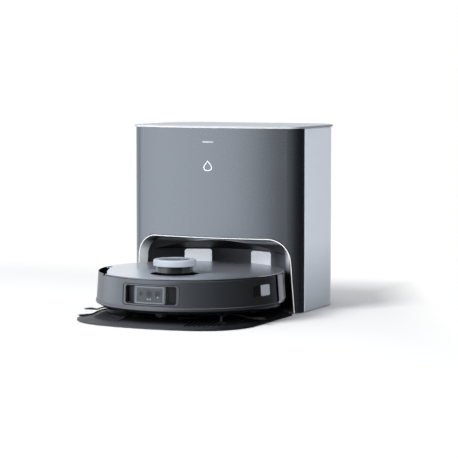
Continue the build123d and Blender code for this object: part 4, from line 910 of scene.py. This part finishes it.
# White floor that keeps the shadows near the part and is plain white behind it and far to its right
FLOOR_HALF = 30
FADE_BEHIND = (0.18, 0.44)
FADE_RIGHT = (0.37, 0.48)
RIGHTWARD = (0.907, 0.42)
corners = [(-FLOOR_HALF, -FLOOR_HALF, 0), (FLOOR_HALF, -FLOOR_HALF, 0)]
corners += [(FLOOR_HALF, FLOOR_HALF, 0), (-FLOOR_HALF, FLOOR_HALF, 0)]
floor_mesh = mesh_from("floor", corners, [(0, 1, 2, 3)], False)
floor = bpy.data.objects.new("floor", floor_mesh)
bpy.context.collection.objects.link(floor)
ground = Nodes("floor_white")
ground.set(Base_Color=lin(250, 250, 251), Roughness=0.9, Specular_IOR_Level=0.1)
floor_x, floor_y, _ = ground.axes()
behind = ground.step(ground.math("SUBTRACT", floor_y, cad_box[1][1]), *FADE_BEHIND)
along = ground.times(ground.math("SUBTRACT", floor_y, robot_y), RIGHTWARD[1])
beyond = ground.step(ground.math("ADD", ground.times(floor_x, RIGHTWARD[0]), along), *FADE_RIGHT)
rays = ground.add("ShaderNodeLightPath")
white_part = ground.times(ground.math("MAXIMUM", behind, beyond), rays.outputs["Is Camera Ray"])
glow = ground.add("ShaderNodeEmission")
ground.link(ground.blend(white_part, ground.bsdf.outputs[0], glow.outputs[0]), ground.out.inputs[0])
floor_mesh.materials.append(ground.material)
floor.visible_glossy = False

# Studio: brightness that glossy surfaces see round the horizon, by degrees from the front to the right
STUDIO = [(-180, 1.0), (-140, 1.0), (-125, 0.76), (-110, 0.62), (-85, 0.57), (-76, 0.55), (-67, 0.62)]
STUDIO += [(-61, 0.94), (-50, 0.95), (-28, 0.86), (-14, 0.81), (-6, 0.69), (0, 0.5), (4, 0.3), (8, 0.18)]
STUDIO += [(15, 0.18), (28, 0.18), (50, 0.11), (75, 0.05), (100, 0.02), (150, 0.02), (162, 0.4), (180, 0.5)]
OVERHEAD = (0.75, 0.9)
AMBIENT_COLOUR = (0.97, 0.985, 1.0)
AMBIENT = 0.52
WHITE = (1.0, 1.0, 1.0)
world = bpy.data.worlds.new("studio")
bpy.context.scene.world = world
world.use_nodes = True
sky = Graph(world.node_tree)
world_out = sky.add("ShaderNodeOutputWorld")
rays = sky.add("ShaderNodeLightPath")
sky_x, sky_y, sky_z = sky.split(sky.add("ShaderNodeTexCoord").outputs["Generated"])
bearing = sky.math("ARCTAN2", sky_x, sky.times(sky_y, -1.0))
ramp = sky.add("ShaderNodeValToRGB")
sky.link(sky.step(bearing, -math.pi, math.pi), ramp.inputs[0])
stops = ramp.color_ramp.elements
while len(stops) < len(STUDIO):
    stops.new(0.5)
for stop, (degrees, _) in zip(stops, STUDIO):
    stop.position = (degrees + 180) / 360
for stop, (_, value) in zip(stops, STUDIO):
    stop.color = (value, value, value, 1.0)


def backdrop(colour, strength=1.0):
    node = sky.add("ShaderNodeBackground")
    sky.feed(node.inputs["Color"], colour)
    node.inputs["Strength"].default_value = strength
    return node.outputs[0]


ambient = backdrop(AMBIENT_COLOUR, AMBIENT)
mirrored = backdrop(sky.mix(sky.step(sky_z, *OVERHEAD), ramp.outputs[0], WHITE))
unseen = sky.blend(rays.outputs["Is Glossy Ray"], ambient, mirrored)
seen = sky.math("MAXIMUM", rays.outputs["Is Camera Ray"], rays.outputs["Is Transmission Ray"])
sky.link(sky.blend(seen, unseen, backdrop(WHITE)), world_out.inputs[0])


# Lamps
def softbox(name, place, aim, size, watts):
    lamp = bpy.data.lights.new(name, "AREA")
    lamp.shape = "RECTANGLE"
    lamp.size = size
    lamp.size_y = size
    lamp.energy = watts
    obj = bpy.data.objects.new(name, lamp)
    bpy.context.collection.objects.link(obj)
    obj.location = place
    obj.rotation_euler = (Vector(aim) - Vector(place)).to_track_quat("-Z", "Y").to_euler()
    obj.visible_camera = False
    return obj


def light_only(lamp, name, *names):
    lit = bpy.data.collections.new(name)
    for node in names:
        lit.objects.link(nodes[node])
    lamp.light_linking.receiver_collection = lit


key_lamp = softbox("key", place=(-1.22, -2.61, 2.0), aim=(0, 0, 0.1), size=1.4, watts=106)
key_lamp.visible_glossy = False
softbox("top", place=(-0.6, -0.4, 3.0), aim=(0, 0, 0), size=2.2, watts=10)
fill_lamp = softbox("fill", place=(2.6, -2.0, 1.6), aim=(0, 0, 0.15), size=1.5, watts=58)
fill_lamp.visible_glossy = False
light_only(fill_lamp, "fill_side", "turret_cap", "arch_trim", "outer_shell")
side_lamp = softbox("side", place=(-2.39, -0.21, 0.45), aim=(0, -0.1, 0.05), size=1.3, watts=6)
light_only(side_lamp, "robot_side", "bumper", "bumper_bezel")

# Camera at the photograph's viewing angle
AZIMUTH = math.radians(24.9)
ELEVATION = math.radians(4.72)
DISTANCE = 3.8199
FOCAL_PIXELS = 1983.9
FRAME_PIXELS = 458.0
SENSOR = 36.0
AIM_RIGHT = 0.0390
AIM_AHEAD = 0.0419
AIM_HEIGHT = 0.1599
aim = Vector((AIM_RIGHT, seam_y - AIM_AHEAD, AIM_HEIGHT))
level = math.cos(ELEVATION)
back = Vector((math.sin(AZIMUTH) * level, -math.cos(AZIMUTH) * level, math.sin(ELEVATION)))
lens_data = bpy.data.cameras.new("camera")
lens_data.sensor_width = SENSOR
lens_data.lens = FOCAL_PIXELS * SENSOR / FRAME_PIXELS
lens_data.clip_end = 100.0
camera = bpy.data.objects.new("camera", lens_data)
bpy.context.collection.objects.link(camera)
camera.location = aim + back * DISTANCE
camera.rotation_euler = (-back).to_track_quat("-Z", "Y").to_euler()
bpy.context.scene.camera = camera
bpy.context.scene.view_settings.view_transform = "Standard"
